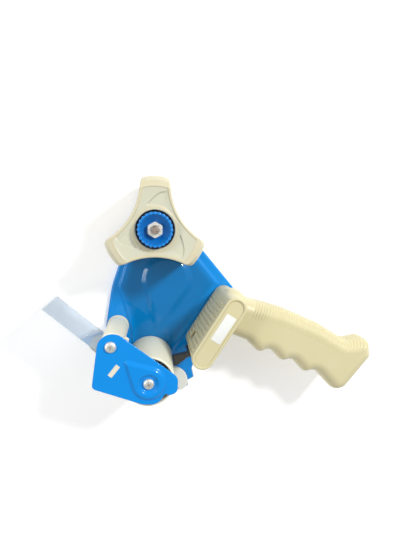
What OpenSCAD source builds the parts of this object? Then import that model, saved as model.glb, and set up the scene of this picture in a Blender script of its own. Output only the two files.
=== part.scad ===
// Hand-held packing-tape dispenser, lying on its side.
// +Z is the axis of the rollers and of the tape hub, +X runs towards the grip,
// +Y runs from the nose to the tape hub. The origin is under the middle of the whole tool.
// Every part is drawn about the spindle, the bolt that the tape hub turns on.

/* [Placement] */
// Spindle position along X
spindle_x = -47; // [-47.2:0.1:-46.8]
// Spindle position along Y
spindle_y = 51.5; // [51.3:0.1:51.7]

/* [Frame plate] */
// Thickness of the pressed steel
plate_t = 1.5; // [1.2:0.1:1.6]
// Height of the turned-down rim that the tool lies on
rim_h = 3; // [2.6:0.1:3]
// Step from the border up to the main field
field_step = 1.2; // [1:0.1:1.2]
// Height of the teardrop boss over the main field
boss_step = 2.3; // [1:0.1:2.3]

/* [Nose] */
// Outer face of the nose plate above the table
nose_z = 63.8; // [63.6:0.1:64]
// Thickness of the nose plate
nose_t = 1.4; // [1.2:0.1:1.5]
// Height of the boss pressed into the nose plate
nose_boss = 2; // [1.5:0.1:2.2]
// Angle of the crossbar section
bar_a = 52; // [51:1:53]
// Thickness of the crossbar
bar_t = 3.5; // [3:0.1:3.6]
// Width of the crossbar tabs
tab_w = 9.9; // [9.5:0.1:9.9]

/* [Rollers] */
// Radius of the applicator roller
applicator_r = 18.8; // [18:0.1:18.9]
// Wall of the applicator roller
applicator_wall = 2; // [1.6:0.1:2.4]
// Radius of the guide roller
guide_r = 8.4; // [8:0.1:8.5]
// Radius of the applicator axle
applicator_axle_r = 4; // [3.5:0.1:4]
// Radius of the guide axle
guide_axle_r = 3.5; // [3.2:0.1:3.5]
// Radial running clearance of every journal
run_gap = 0.05; // [0.03:0.01:0.08]

/* [Tape hub] */
// Radius over the arms, for a three-inch cardboard core
hub_r = 38; // [37:0.1:38]
// Radius of the hollow flanks between the arms
flank_r = 48.5; // [48:0.5:49]
// Distance of the flank centres from the spindle
flank_d = 68; // [67.5:0.5:68.5]
// Wall of the hub
hub_wall = 2; // [1.6:0.1:2.2]
// Near end of the hub
hub_top = 59; // [58.5:0.1:59.5]
// Inner radius of the well that holds the knob
well_r = 13.7; // [13.5:0.1:14]

/* [Tension knob] */
// Radius over the scallops
knob_r = 12.5; // [12:0.1:12.8]
// Number of scallops
knob_scallops = 24; // [18:1:28]
// Radius of the spindle bolt
bolt_r = 3; // [3:0.1:3]
// Turns of the brake spring
spring_turns = 5; // [4:1:6]

/* [Handle] */
// Wall of the handle mouldings
shell_t = 2.5; // [2:0.1:2.8]
// Half width of the handle base
base_r = 8; // [7.6:0.1:8.2]
// Far side of the grip
grip_z0 = 20; // [19:0.5:21]
// Near side of the grip
grip_z1 = 48; // [47:0.5:49]
// Number of ribs on the front of the handle base
base_ribs = 11; // [8:1:12]

/* [Wiper] */
// Length of the clear flap from its bend to its tip
flap_len = 62; // [58:1:62]
// Thickness of the clear flap
flap_t = 0.7; // [0.5:0.1:0.8]
// Direction of the flap
flap_a = 139.5; // [138:0.5:141]

/* [Hidden] */
$fn = 64;
eps = 0.01;

// levels of the frame plate
band_z = rim_h + plate_t;
field_z = band_z + field_step;
boss_z = field_z + boss_step;
nose_in = nose_z - nose_t;

// places about the spindle
applicator_at = [-4.5, -109.8];
guide_at = [-31, -82];
bar_at = [-29, -99.7];
stay_at = [27.5, -101.5];
base_hi = [57.5, -55.8];
base_lo = [34.4, -92.5];
base_top = 64;
grip_split = (grip_z0 + grip_z1) / 2;
handle_screws_at = [base_hi, (base_hi + base_lo) / 2, base_lo];
grip_screws_at = [[78, -72], [112, -86], [152, -105]];
rivets_at = [[19.5, -124.5], [23.5, -133]];

// screw, rivet, pin and nut sizes
screw_r = 2;
hole_r = 2.1;
screw_head = [4.3, 2.4];
handle_screw_head = [3.7, 2.2];
grip_screw_head = [3.2, 2];
rivet_r = 1.45;
pin_r = 1.2;
nut_af = 10;

// nose bridge, in the crossbar frame
bar_wide = 9;
cheek_t = 3.8;
blade_t = 0.8;
blade_screw_x = 3;
blade_screws_y = [18, 48];

// heights of the rollers, the edge guide and the tape stay
applicator_z0 = field_z + 0.6;
applicator_z1 = 60.6;
guide_z1 = 58.3;
edge_guide_z = 9;
stay_z0 = 6.2;
stay_z1 = 34;

// heights along the spindle
hub_z = field_z + 3.65;
well_floor = 38;
spring_z0 = 39.3;
spring_z1 = 52;
knob_z0 = 53.4;
knob_z1 = 62.8;
bolt_end = 65.5;

// outlines: each point is [x, y, corner radius], anticlockwise seen from +Z
plate_outline = [[-7.1, 37.2, 18.6], [-36, -48.9, 60], [-41.3, -84, 60], [-44.5, -113, 6],
    [-14, -129, 12], [12, -137.5, 4], [22.5, -141.2, 1], [28.8, -137, 1], [28.2, -132.6, 1],
    [33.8, -129.5, 1], [32, -121.5, 1.5], [38, -98, 6], [67, -50.8, 2.5]];
field_outline = [[-6.1, 25.9, 12.5], [-30.5, -49, 8], [-20.5, -86, 30], [-19.5, -123, 8],
    [9, -132, 6], [16, -103.5, 8], [27.8, -86.4, 12], [53.8, -46.4, 1.5]];
nose_outline = [[-38.2, -63.4, 11], [-41, -85, 40], [-44.8, -112.5, 3.5], [-9, -125.6, 12],
    [2, -126, 9], [7.4, -117.6, 1.5], [10, -119.4, 3], [16.2, -117.5, 5], [16.6, -105.6, 7]];
grip_outline = [[40, -60, 0], [45, -80, 0], [60, -81, 6], [71, -85.5, 6], [82, -96.5, 5],
    [89, -91.2, 6], [100.5, -104, 5], [107.5, -100.2, 6], [119, -113, 5], [128, -110.5, 8],
    [145, -129.5, 8], [154, -126.5, 6], [174.5, -100.5, 5], [171.5, -85.5, 6],
    [153, -88.5, 12], [133, -75.8, 40], [100, -61.5, 40], [72, -53.5, 12], [57, -41, 4]];
edge_guide_outline = [[9, -116, 2], [12, -126, 2], [22.2, -139, 1], [27.4, -133.9, 1],
    [28.2, -122.5, 9], [18, -116.5, 6]];
cheek_outline = [[-39.5, -72, 7], [-37.5, -98, 3], [-33.5, -105, 2], [-25.5, -100, 2],
    [-18.8, -81, 1], [-18.2, -77, 1], [-22, -74.5, 1]];

function unit(v) = v / norm(v);
function left_of(v) = [-v[1], v[0]];
function pt(c) = [c[0], c[1]];
function dot2(a, b) = a[0] * b[0] + a[1] * b[1];
function cross2(a, b) = a[0] * b[1] - a[1] * b[0];
function arc(c, r, a0, a1, n) = [for (i = [0:n]) let (a = a0 + (a1 - a0) * i / n)
    c + r * [cos(a), sin(a)]];

// one rounded corner of an outline
function corner(p0, p1, p2, r) = r <= 0 ? [p1] :
    let (v1 = unit(p0 - p1), v2 = unit(p2 - p1), half = acos(dot2(v1, v2)) / 2,
        c = p1 + unit(v1 + v2) * r / sin(half), s = p1 + v1 * r / tan(half) - c,
        turn = (180 - 2 * half) * sign(cross2(p1 - p0, p2 - p1)), a0 = atan2(s[1], s[0]),
        n = max(2, ceil(abs(turn) / 9)))
    [for (i = [0:n]) c + r * [cos(a0 + turn * i / n), sin(a0 + turn * i / n)]];
function rounded(o) = let (n = len(o)) [for (i = [0:n - 1])
    for (q = corner(pt(o[(i + n - 1) % n]), pt(o[i]), pt(o[(i + 1) % n]), o[i][2])) q];

// the same outline moved inwards by d
function inset(o, d) = let (n = len(o)) [for (i = [0:n - 1])
    let (a = pt(o[(i + n - 1) % n]), b = pt(o[i]), c = pt(o[(i + 1) % n]),
        n1 = left_of(unit(b - a)), n2 = left_of(unit(c - b)),
        q = b + (n1 + n2) * d / (1 + dot2(n1, n2)), out = cross2(b - a, c - b) > 0)
    [q[0], q[1], o[i][2] <= 0 ? 0 : (out ? max(o[i][2] - d, 0.4) : o[i][2] + d)]];

// a large circle drawn out to a small one
function egg(c, r, s, rs) =
    let (v = s - c, phi = atan2(v[1], v[0]), b = acos((r - rs) / norm(v)))
    concat(arc(c, r, phi + b, phi + 360 - b, 40), arc(s, rs, phi - b, phi + b, 10));

module at_spindle() { translate([spindle_x, spindle_y, 0]) children(); }
module at(p, z = 0) { translate([p[0], p[1], z]) children(); }
module slab(points, z0, z1) { translate([0, 0, z0]) linear_extrude(z1 - z0) polygon(points); }
module disc(r, z0, z1) { translate([0, 0, z0]) cylinder(r = r, h = z1 - z0); }
module ring(r_out, r_in, z0, z1) {
    difference() {
        disc(r_out, z0, z1);
        disc(r_in, z0 - 1, z1 + 1);
    }
}
module hexagon(af, z0, z1) {
    translate([0, 0, z0]) rotate(30) cylinder(d = af / cos(30), h = z1 - z0, $fn = 6);
}
// crossbar frame: X runs down to the cutting edge, Y is the roller axis, Z points at the flap
module on_bar() { at(bar_at) rotate([90, 0, bar_a + 180]) children(); }
module bar_box(x0, x1, y0, y1, z0, z1) {
    translate([x0, y0, z0]) cube([x1 - x0, y1 - y0, z1 - z0]);
}
// cross-recessed pan-head screw: head is [radius, height], its shank points down
module pan_screw(head, shank_r, reach) {
    slot_w = 0.9;
    difference() {
        union() {
            rotate_extrude() polygon([[0, 0], [head[0], 0], [head[0], head[1] / 3],
                [head[0] * 0.86, head[1] * 0.75], [head[0] / 2, head[1]], [0, head[1]]]);
            disc(shank_r, -reach, eps);
        }
        for (a = [0, 90]) rotate(a)
            translate([-head[0] / 2, -slot_w / 2, head[1] / 2]) cube([head[0], slot_w, head[1]]);
    }
}
module pan_screw_below(head, shank_r, reach) { mirror([0, 0, 1]) pan_screw(head, shank_r, reach); }

// teardrop boss of the frame plate, moved inwards by d
module plate_boss(d, z0, z1) { slab(egg([9.5, -43], 22.3 - d, [1.8, -84.5], 4.2 - d), z0, z1); }
module bar_slot(z0, z1) {
    x = tab_w / 2 + 0.1;
    y = bar_t / 2 + 0.1;
    on_bar() bar_box(-x, x, z0, z1, -y, y);
}

module frame_plate() {
    color([0, 0.5, 0.88]) at_spindle() difference() {
        union() {
            slab(rounded(plate_outline), 0, band_z);
            slab(rounded(field_outline), band_z - eps, field_z);
            plate_boss(0, field_z - eps, boss_z);
        }
        slab(rounded(inset(plate_outline, plate_t)), -1, rim_h);
        slab(rounded(inset(field_outline, plate_t)), 0, field_z - plate_t);
        plate_boss(plate_t, 0, boss_z - plate_t);
        disc(bolt_r + 0.1, -1, boss_z);
        for (p = concat([applicator_at, guide_at], handle_screws_at)) at(p) disc(hole_r, -1, boss_z);
        for (p = rivets_at) at(p) disc(rivet_r + run_gap, -1, boss_z);
        at(stay_at) disc(pin_r, -1, boss_z);
        bar_slot(0, boss_z);
    }
}

// teardrop boss of the nose plate, moved inwards by d
module nose_teardrop(d, z0, z1) {
    slab(egg([-4.5, -109.5], 13.2 - d, [-19.8, -94.2], 2.6 - d), z0, z1);
}
module nose_plate() {
    dish_r = 6.2;
    color([0, 0.56, 0.93]) at_spindle() difference() {
        union() {
            difference() {
                union() {
                    slab(rounded(nose_outline), nose_in, nose_z);
                    nose_teardrop(0, nose_z - eps, nose_z + nose_boss);
                }
                nose_teardrop(nose_t, nose_in - 1, nose_z + nose_boss - nose_t);
            }
            at(applicator_at) disc(dish_r + nose_t, nose_in, nose_z + nose_boss - eps);
        }
        at(applicator_at) disc(dish_r, nose_z, nose_z + 9);
        for (p = [applicator_at, guide_at]) at(p) disc(hole_r, nose_in - 1, nose_z + 9);
        bar_slot(nose_in - 1, nose_z + 1);
    }
}

module nose_bridge() {
    link_t = 2;
    lip_h = 3.3;
    color([0.93, 0.9, 0.78]) at_spindle() difference() {
        union() {
            on_bar() bar_box(-tab_w / 2, tab_w / 2, rim_h, nose_z + 0.2, -bar_t / 2, bar_t / 2);
            on_bar() bar_box(-tab_w / 2, bar_wide, band_z, nose_in, -bar_t / 2, bar_t / 2);
            for (x = [-3.3, -0.5])
                on_bar() bar_box(x, x + 2, 6.8, guide_z1, bar_t / 2 - eps, bar_t / 2 + lip_h);
            slab(rounded(cheek_outline), nose_in - cheek_t, nose_in);
            slab(egg(guide_at, 8.9, [-31, -100], 4), band_z, band_z + link_t);
        }
        at(guide_at) disc(guide_axle_r, 0, nose_z + 1);
        on_blade_screws() disc(1.2, -1, 4);
    }
}

module on_blade_screws() {
    for (y = blade_screws_y) on_bar() translate([blade_screw_x, y, -bar_t / 2]) children();
}
module cutting_blade() {
    pitch = 2.5;
    teeth = 20;
    y0 = 7.3;
    valley = 17.5;
    tip = 19.3;
    edge = [for (i = [0:2 * teeth]) [i % 2 == 0 ? valley : tip, y0 + i * pitch / 2]];
    color([0.78, 0.79, 0.8]) at_spindle() difference() {
        on_bar() translate([0, 0, -bar_t / 2 - blade_t]) linear_extrude(blade_t)
            polygon(concat([[-2, y0]], edge, [[-2, y0 + teeth * pitch]]));
        on_blade_screws() disc(1.3, -2, 1);
    }
}

module blade_screws() {
    color([0.8, 0.8, 0.8]) at_spindle() on_blade_screws() {
        disc(2.6, -blade_t - 1.6, -blade_t);
        disc(1.15, -blade_t - eps, 2);
    }
}

module tapped_axle(r, z0, z1) {
    difference() {
        disc(r, z0, z1);
        disc(screw_r, z0 - 1, z0 + 11);
        disc(screw_r, z1 - 11, z1 + 1);
    }
}
module guide_axle() {
    color([0.75, 0.76, 0.78]) at_spindle() at(guide_at) tapped_axle(guide_axle_r, band_z, nose_in);
}
module applicator_axle() {
    color([0.75, 0.76, 0.78]) at_spindle() at(applicator_at)
        tapped_axle(applicator_axle_r, field_z, nose_in);
}
module nose_screws() {
    color([0.85, 0.85, 0.83]) at_spindle() for (p = [applicator_at, guide_at])
        at(p, nose_z) rotate(p == guide_at ? 70 : 20) pan_screw(screw_head, screw_r - run_gap, 9);
}
module rear_screws() {
    color([0.85, 0.85, 0.83]) at_spindle() {
        at(applicator_at, field_z - plate_t) pan_screw_below(screw_head, screw_r - run_gap, 10);
        at(guide_at, band_z - plate_t) pan_screw_below(screw_head, screw_r - run_gap, 10);
    }
}

module edge_guide() {
    color([0.9, 0.89, 0.8]) at_spindle() difference() {
        slab(rounded(edge_guide_outline), band_z, edge_guide_z);
        slab(rounded(field_outline), 0, field_z + 0.1);
        at(applicator_at) disc(applicator_r + 1, 0, edge_guide_z + 1);
        for (p = rivets_at) at(p) disc(rivet_r + run_gap, 0, edge_guide_z + 1);
    }
}
module edge_guide_rivets() {
    under = band_z - plate_t;
    color([0.7, 0.7, 0.72]) at_spindle() for (p = rivets_at) at(p) {
        disc(rivet_r, under - 0.5, edge_guide_z + 0.2);
        disc(2.6, under - 1.4, under);
        disc(2.4, edge_guide_z, edge_guide_z + 0.7);
    }
}

module tape_stay() {
    color([0.28, 0.28, 0.27]) at_spindle() difference() {
        union() {
            slab(concat(arc(applicator_at, applicator_r + 0.5, 19, -3, 6),
                [[18.3, -110.2], [22.1, -107.1], [28, -103.6], [26.5, -99.5]]), stay_z0, stay_z1);
            at(stay_at) disc(2 * pin_r, stay_z0, stay_z1);
        }
        at(stay_at) disc(pin_r + run_gap, 0, stay_z1 + 1);
    }
}
module stay_pin() {
    color([0.7, 0.7, 0.72]) at_spindle() at(stay_at) {
        disc(pin_r, rim_h - 0.4, stay_z1 + 1.5);
        disc(2.2, rim_h - 1.2, rim_h);
        disc(2.1, band_z, stay_z0 - 0.2);
        disc(2, stay_z1 + 0.3, stay_z1 + 1.5);
    }
}

module base_prism(d, z0, z1) { slab(egg(base_hi, base_r - d, base_lo, base_r - d - eps), z0, z1); }
// the grip as a stack of slices that round its two long edges
module grip_solid(d, z0, z1) {
    slab(rounded(inset(grip_outline, d)), z0 + 7, z1 - 7);
    slab(rounded(inset(grip_outline, d + 1.3)), z0 + 3.5, z1 - 3.5);
    slab(rounded(inset(grip_outline, d + 3.4)), z0 + 1.2, z1 - 1.2);
    slab(rounded(inset(grip_outline, d + 5.4)), z0, z1);
}
module grip_shell() {
    difference() {
        grip_solid(0, grip_z0, grip_z1);
        grip_solid(shell_t, grip_z0 + shell_t, grip_z1 - shell_t);
    }
}
module handle_shell() {
    rib_dir = unit(base_lo - base_hi);
    rib_side = [rib_dir[1], -rib_dir[0]];
    color([0.93, 0.89, 0.74]) at_spindle() difference() {
        union() {
            difference() {
                union() {
                    base_prism(0, band_z, base_top);
                    for (i = [0:base_ribs - 1]) let (p = base_hi + rib_dir * (2 + 3.9 * i)
                        + rib_side * (base_r - 0.4)) at(p) disc(0.9, band_z + 4, base_top - 5);
                    intersection() {
                        grip_shell();
                        disc(300, grip_split, 90);
                    }
                }
                base_prism(shell_t, 0, base_top - shell_t - 1);
                base_prism(2, base_top - 1, base_top + 1);
                slab(rounded(inset(grip_outline, shell_t)), grip_split - 1, grip_z1 - shell_t - 4);
                slab(rounded(inset(grip_outline, -0.2)), grip_z0 - 1, grip_split);
            }
            for (p = handle_screws_at) at(p) disc(base_r - shell_t + 0.2, band_z, 30);
            for (p = grip_screws_at) at(p) disc(4, grip_split, grip_z1 - shell_t + eps);
            base_prism(0, band_z, band_z + 12);
        }
        for (p = handle_screws_at) at(p) disc(1.9, 0, 24);
        for (p = grip_screws_at) at(p) disc(1.5, grip_split - 1, grip_z1 - shell_t - 2);
        at([27.6, -86.5], 26) rotate(-33) translate([-3, -3, 0]) cube([6, 4.5, 9]);
    }
}
module grip_back() {
    color([0.92, 0.88, 0.73]) at_spindle() difference() {
        union() {
            intersection() {
                grip_shell();
                disc(300, 0, grip_split);
            }
            for (p = grip_screws_at) at(p) disc(5.5, grip_z0 + 1, grip_split);
        }
        base_prism(-0.05, 0, base_top + 1);
        for (p = grip_screws_at) at(p) {
            disc(1.7, 0, grip_split + 1);
            disc(4, 0, grip_z0 + 5);
        }
    }
}
module handle_screws() {
    color([0.85, 0.85, 0.83]) at_spindle() for (p = handle_screws_at)
        at(p, band_z - plate_t) pan_screw_below(handle_screw_head, 1.85, 18);
}
module grip_screws() {
    color([0.85, 0.85, 0.83]) at_spindle() for (p = grip_screws_at)
        at(p, grip_z0 + 5) pan_screw_below(grip_screw_head, 1.45, 17);
}
module blank_label() {
    along = atan2(base_hi[1] - base_lo[1], base_hi[0] - base_lo[0]);
    color([0.97, 0.97, 0.95]) at_spindle() at([49, -70.6], base_top - 1)
        rotate(along) translate([-11.1, -4.1, 0]) cube([22.2, 8.2, 0.2]);
}

module spindle_bolt() {
    color([0.75, 0.74, 0.7]) at_spindle() {
        hexagon(nut_af, 0.3, field_z - plate_t);
        disc(bolt_r, field_z - plate_t - eps, bolt_end);
    }
}
module spindle_nut() {
    color([0.8, 0.8, 0.78]) at_spindle() difference() {
        hexagon(nut_af, field_z, field_z + 3.2);
        disc(bolt_r, 0, 20);
    }
}
module friction_disc() { color([0.35, 0.33, 0.3]) at_spindle() ring(17, 7.5, field_z, hub_z - 0.05); }

// three-armed section of the hub, moved inwards by d
module hub_star(d) {
    difference() {
        circle(hub_r - d, $fn = 96);
        for (a = [30, 150, 270]) rotate(a) translate([flank_d, 0]) circle(flank_r + d, $fn = 128);
    }
}
module hub_reel() {
    web_z = hub_top - 5;
    rim_z = hub_top - 3;
    color([0.9, 0.89, 0.77]) at_spindle() difference() {
        intersection() {
            translate([0, 0, hub_z]) linear_extrude(hub_top - hub_z) hub_star(0);
            rotate_extrude() polygon([[0, 0], [hub_r, 0], [hub_r, 44], [hub_r - 1.6, 55],
                [hub_r - 4, hub_top], [0, hub_top]]);
        }
        difference() {
            union() {
                translate([0, 0, hub_z - 1]) linear_extrude(web_z - hub_z + 1) hub_star(hub_wall);
                translate([0, 0, rim_z]) linear_extrude(9) intersection() {
                    hub_star(hub_wall);
                    circle(hub_r - 8);
                }
            }
            disc(well_r + 1.8, well_floor - 2, hub_top);
            disc(9, hub_z, well_floor);
            disc(18, hub_z, hub_z + 2);
        }
        disc(well_r, well_floor, hub_top + 1);
        disc(5, 0, well_floor + 1);
    }
}
module hub_bush() {
    color([0.95, 0.95, 0.92]) at_spindle()
        ring(5, bolt_r + run_gap, hub_z + 0.5, well_floor - 0.1);
}
module brake_washer() {
    color([0.75, 0.75, 0.75]) at_spindle() ring(9, bolt_r + 0.3, well_floor, well_floor + 1.2);
}
module spring_cap() {
    color([0.75, 0.75, 0.75]) at_spindle()
        ring(9.5, bolt_r + 0.1, spring_z1 + 0.1, knob_z0 - 0.1);
}

// brake spring: rings of points swept along a helix
module brake_spring() {
    mean_r = 7;
    wire_r = 0.8;
    sides = 8;
    steps = spring_turns * 20;
    rise = spring_z1 - spring_z0 - 2 * wire_r;
    points = [for (i = [0:steps])
        let (a = 360 * spring_turns * i / steps, z = spring_z0 + wire_r + rise * i / steps)
        for (k = [0:sides - 1]) let (b = 360 * k / sides, r = mean_r + wire_r * cos(b))
        [r * cos(a), r * sin(a), z + wire_r * sin(b)]];
    faces = concat(
        [[for (k = [0:sides - 1]) k]],
        [for (i = [0:steps - 1], k = [0:sides - 1]) let (q = i * sides, j = (k + 1) % sides)
            [q + k, q + sides + k, q + sides + j, q + j]],
        [[for (k = [sides - 1:-1:0]) steps * sides + k]]);
    color([0.7, 0.7, 0.72]) at_spindle() polyhedron(points, faces);
}

module tension_knob() {
    skirt_z = knob_z0 + 1.5;
    bowl = knob_z1 - 4;
    color([0, 0.45, 0.85]) at_spindle() difference() {
        disc(knob_r, knob_z0, knob_z1);
        for (i = [0:knob_scallops - 1]) rotate(360 * (i + 0.5) / knob_scallops)
            translate([knob_r + 0.9, 0, skirt_z]) cylinder(r = 1.4, h = 20, $fn = 16);
        rotate_extrude() polygon([[0, bowl], [6.5, bowl], [knob_r - 2.6, knob_z1 - 1],
            [knob_r - 1.8, knob_z1 + 1], [0, knob_z1 + 1]]);
        disc(bolt_r + 0.2, 0, 80);
        hexagon(nut_af, bowl - 1.6, knob_z1);
    }
}
module knob_nut() {
    z0 = knob_z1 - 5.6;
    color([0.85, 0.85, 0.82]) at_spindle() difference() {
        hexagon(nut_af - 0.02, z0, z0 + 5.2);
        disc(bolt_r + run_gap, 0, 80);
    }
}

module applicator_roller() {
    z0 = applicator_z0;
    web_r = applicator_r - 1;
    web_t = 1.8;
    color([0.92, 0.91, 0.83]) at_spindle() at(applicator_at) {
        ring(applicator_r, applicator_r - applicator_wall, z0, applicator_z1);
        ring(8, 6, z0, applicator_z1 - 3);
        ring(web_r, 7, z0, z0 + 2);
        ring(web_r, 7, 32, 34.5);
        for (a = [0, 90]) rotate(a) difference() {
            translate([-web_r, -web_t / 2, z0]) cube([2 * web_r, web_t, 40 - z0]);
            disc(7, 0, 90);
        }
    }
}
module applicator_bushes() {
    bush_l = 8;
    color([0.95, 0.95, 0.92]) at_spindle() at(applicator_at)
        for (z = [applicator_z0 + 0.4, applicator_z1 - 3.4 - bush_l])
            ring(6, applicator_axle_r + run_gap, z, z + bush_l);
}
module guide_roller() {
    z0 = band_z + 2.4;
    color([0.93, 0.92, 0.82]) at_spindle() at(guide_at) difference() {
        union() {
            disc(guide_r - 0.4, z0, guide_z1);
            disc(guide_r, z0 + 1.2, guide_z1 - 1.2);
        }
        disc(guide_axle_r + run_gap, 0, 90);
    }
}

// the clear flap: its root is clamped in the crossbar, and it bends where it leaves it
flap_x = -0.9;
flap_z0 = 7;
flap_z1 = 58;
bend_z = 5.3;
module flap_root() {
    color([0.75, 0.83, 0.9, 0.6]) at_spindle() on_bar()
        bar_box(flap_x - flap_t / 2, flap_x + flap_t / 2, flap_z0, flap_z1,
            bar_t / 2 + 0.05, bend_z - 0.2);
}
module wiper_flap() {
    down = [-cos(bar_a), -sin(bar_a)];
    out = [-sin(bar_a), cos(bar_a)];
    bend_at = bar_at + down * flap_x + out * bend_z;
    color([0.75, 0.83, 0.9, 0.6]) at_spindle() at(bend_at, flap_z0) rotate(flap_a)
        translate([0.3, -flap_t / 2, 0]) cube([flap_len, flap_t, flap_z1 - flap_z0]);
}

frame_plate();
nose_plate();
nose_bridge();
cutting_blade();
blade_screws();
guide_axle();
applicator_axle();
nose_screws();
rear_screws();
edge_guide();
edge_guide_rivets();
tape_stay();
stay_pin();
handle_shell();
grip_back();
handle_screws();
grip_screws();
blank_label();
spindle_bolt();
spindle_nut();
friction_disc();
hub_reel();
hub_bush();
brake_washer();
brake_spring();
spring_cap();
tension_knob();
knob_nut();
applicator_roller();
applicator_bushes();
guide_roller();
flap_root();
wiper_flap();
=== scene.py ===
"""Looks of a hand-held packing-tape dispenser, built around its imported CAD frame."""

import math

import bmesh
import bpy
import numpy as np
from mathutils import Matrix, Vector
from mathutils.geometry import delaunay_2d_cdt


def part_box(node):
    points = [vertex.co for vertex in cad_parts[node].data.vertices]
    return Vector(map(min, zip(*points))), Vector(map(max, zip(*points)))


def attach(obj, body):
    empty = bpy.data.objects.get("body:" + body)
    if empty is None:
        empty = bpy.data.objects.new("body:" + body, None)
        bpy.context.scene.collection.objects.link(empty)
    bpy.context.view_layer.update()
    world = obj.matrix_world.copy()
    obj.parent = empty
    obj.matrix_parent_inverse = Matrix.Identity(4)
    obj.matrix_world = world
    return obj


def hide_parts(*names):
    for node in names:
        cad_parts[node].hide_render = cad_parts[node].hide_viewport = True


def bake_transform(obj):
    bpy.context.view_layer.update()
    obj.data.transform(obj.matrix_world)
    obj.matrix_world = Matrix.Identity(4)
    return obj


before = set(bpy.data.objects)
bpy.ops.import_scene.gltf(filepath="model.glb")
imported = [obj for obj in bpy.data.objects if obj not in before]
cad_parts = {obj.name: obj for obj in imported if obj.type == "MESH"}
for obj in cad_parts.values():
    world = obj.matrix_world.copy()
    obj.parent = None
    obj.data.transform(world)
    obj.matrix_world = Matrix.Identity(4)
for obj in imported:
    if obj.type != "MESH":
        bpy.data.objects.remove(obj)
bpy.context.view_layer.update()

# Shapes are in millimetres about the spindle, with heights above the table.
MM = 0.001
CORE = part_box("spindle_bolt")
SPINDLE = (CORE[0] + CORE[1]) / 2

# ---------------------------------------------------------------- dimensions

PLATE_T = 1.5
BAND_Z = 4.5
FIELD_Z = 5.7
BOSS_Z = 8.0
NOSE_Z = 63.8
NOSE_T = 1.4
NOSE_IN = NOSE_Z - NOSE_T
APPLICATOR = np.array((-4.5, -109.8))
GUIDE = np.array((-31.0, -82.0))
BAR = np.array((-29.0, -99.7))
BAR_ANGLE = math.radians(52)
STAY = np.array((27.5, -101.5))
BASE_HI = np.array((57.5, -55.8))
BASE_LO = np.array((34.4, -92.5))
BASE_R = 8.0
BASE_TOP = 64.0
GRIP_Z0, GRIP_Z1 = 20.0, 48.0
GRIP_SPLIT = (GRIP_Z0 + GRIP_Z1) / 2
HANDLE_SCREWS = (BASE_HI, (BASE_HI + BASE_LO) / 2, BASE_LO)
GRIP_SCREWS = ((78, -72), (112, -86), (152, -105))
RIVETS = ((19.5, -124.5), (23.5, -133))
BLADE_SCREW_U, BLADE_SCREW_HEIGHTS = 3, (18, 48)
BLADE_FRONT, BLADE_BACK = -1.75, -2.55
HUB_R = 38.0
HUB_Z, HUB_TOP = 9.35, 59.0
HUB_WALL = 2.0
FLANK_R, FLANK_D = 48.5, 68.0
WELL_R, WELL_FLOOR = 13.7, 38.0
WELL_MOUTH = WELL_R + 0.6
RING_R, RING_EDGE = 14.75, 0.35
KNOB_R, KNOB_BEADS = 12.5, 24
KNOB_Z0, KNOB_Z1 = 53.4, 62.8
BOLT_R = 3.0
WELD = 0.004

# Outlines: each corner is (x, y, radius), anticlockwise seen from above.
PLATE = [(-7.1, 37.2, 18.6), (-36, -48.9, 60), (-41.3, -84, 60), (-44.5, -113, 6), (-14, -129, 12),
         (12, -137.5, 4), (22.5, -141.2, 1), (28.8, -137, 1), (28.2, -132.6, 1), (33.8, -129.5, 1),
         (32, -121.5, 1.5), (38, -98, 6), (67, -50.8, 2.5)]
FIELD = [(-6.1, 25.9, 12.5), (-30.5, -49, 8), (-20.5, -86, 30), (-19.5, -123, 8), (9, -132, 6),
         (16, -103.5, 8), (27.8, -86.4, 12), (53.8, -46.4, 1.5)]
NOSE = [(-38.2, -63.4, 11), (-41, -85, 40), (-44.8, -112.5, 3.5), (-9, -125.6, 12), (2, -126, 9),
        (7.4, -117.6, 1.5), (10, -119.4, 3), (16.2, -117.5, 5), (16.6, -105.6, 7)]
GRIP = [(49, -59, 0), (47, -80, 0), (60, -81, 6), (71, -85.5, 6), (82, -96.5, 5), (89, -91.2, 6),
        (100.5, -104, 5), (107.5, -100.2, 6), (119, -113, 5), (128, -110.5, 8), (145, -129.5, 8),
        (154, -126.5, 6), (174.5, -100.5, 5), (171.5, -85.5, 6), (153, -88.5, 12), (133, -75.8, 40),
        (100, -61.5, 40), (72, -53.5, 12), (60.8, -44.3, 6)]
CHEEK = [(-38.5, -73, 7), (-37.5, -98, 3), (-33.5, -105, 2), (-25.5, -100, 2), (-19.2, -81, 1),
         (-18.3, -77.4, 0.8), (-21.3, -75.1, 0.6), (-24.3, -78, 1)]
PLATE_BOSS = ((9.5, -43), 22.3, (1.8, -84.5), 4.2)
NOSE_BOSS = ((-4.5, -109.5), 13.2, (-19.8, -94.2), 2.6)

# ---------------------------------------------------------------- plan geometry


def unit(v):
    v = np.asarray(v, float)
    return v / np.linalg.norm(v)


def cross2(a, b):
    return a[0] * b[1] - a[1] * b[0]


def arc(centre, r, a0, a1, n):
    """Points of an arc, with its angles in degrees."""
    a = np.radians(np.linspace(a0, a1, n + 1))
    return np.array(centre) + r * np.stack((np.cos(a), np.sin(a)), 1)


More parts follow.
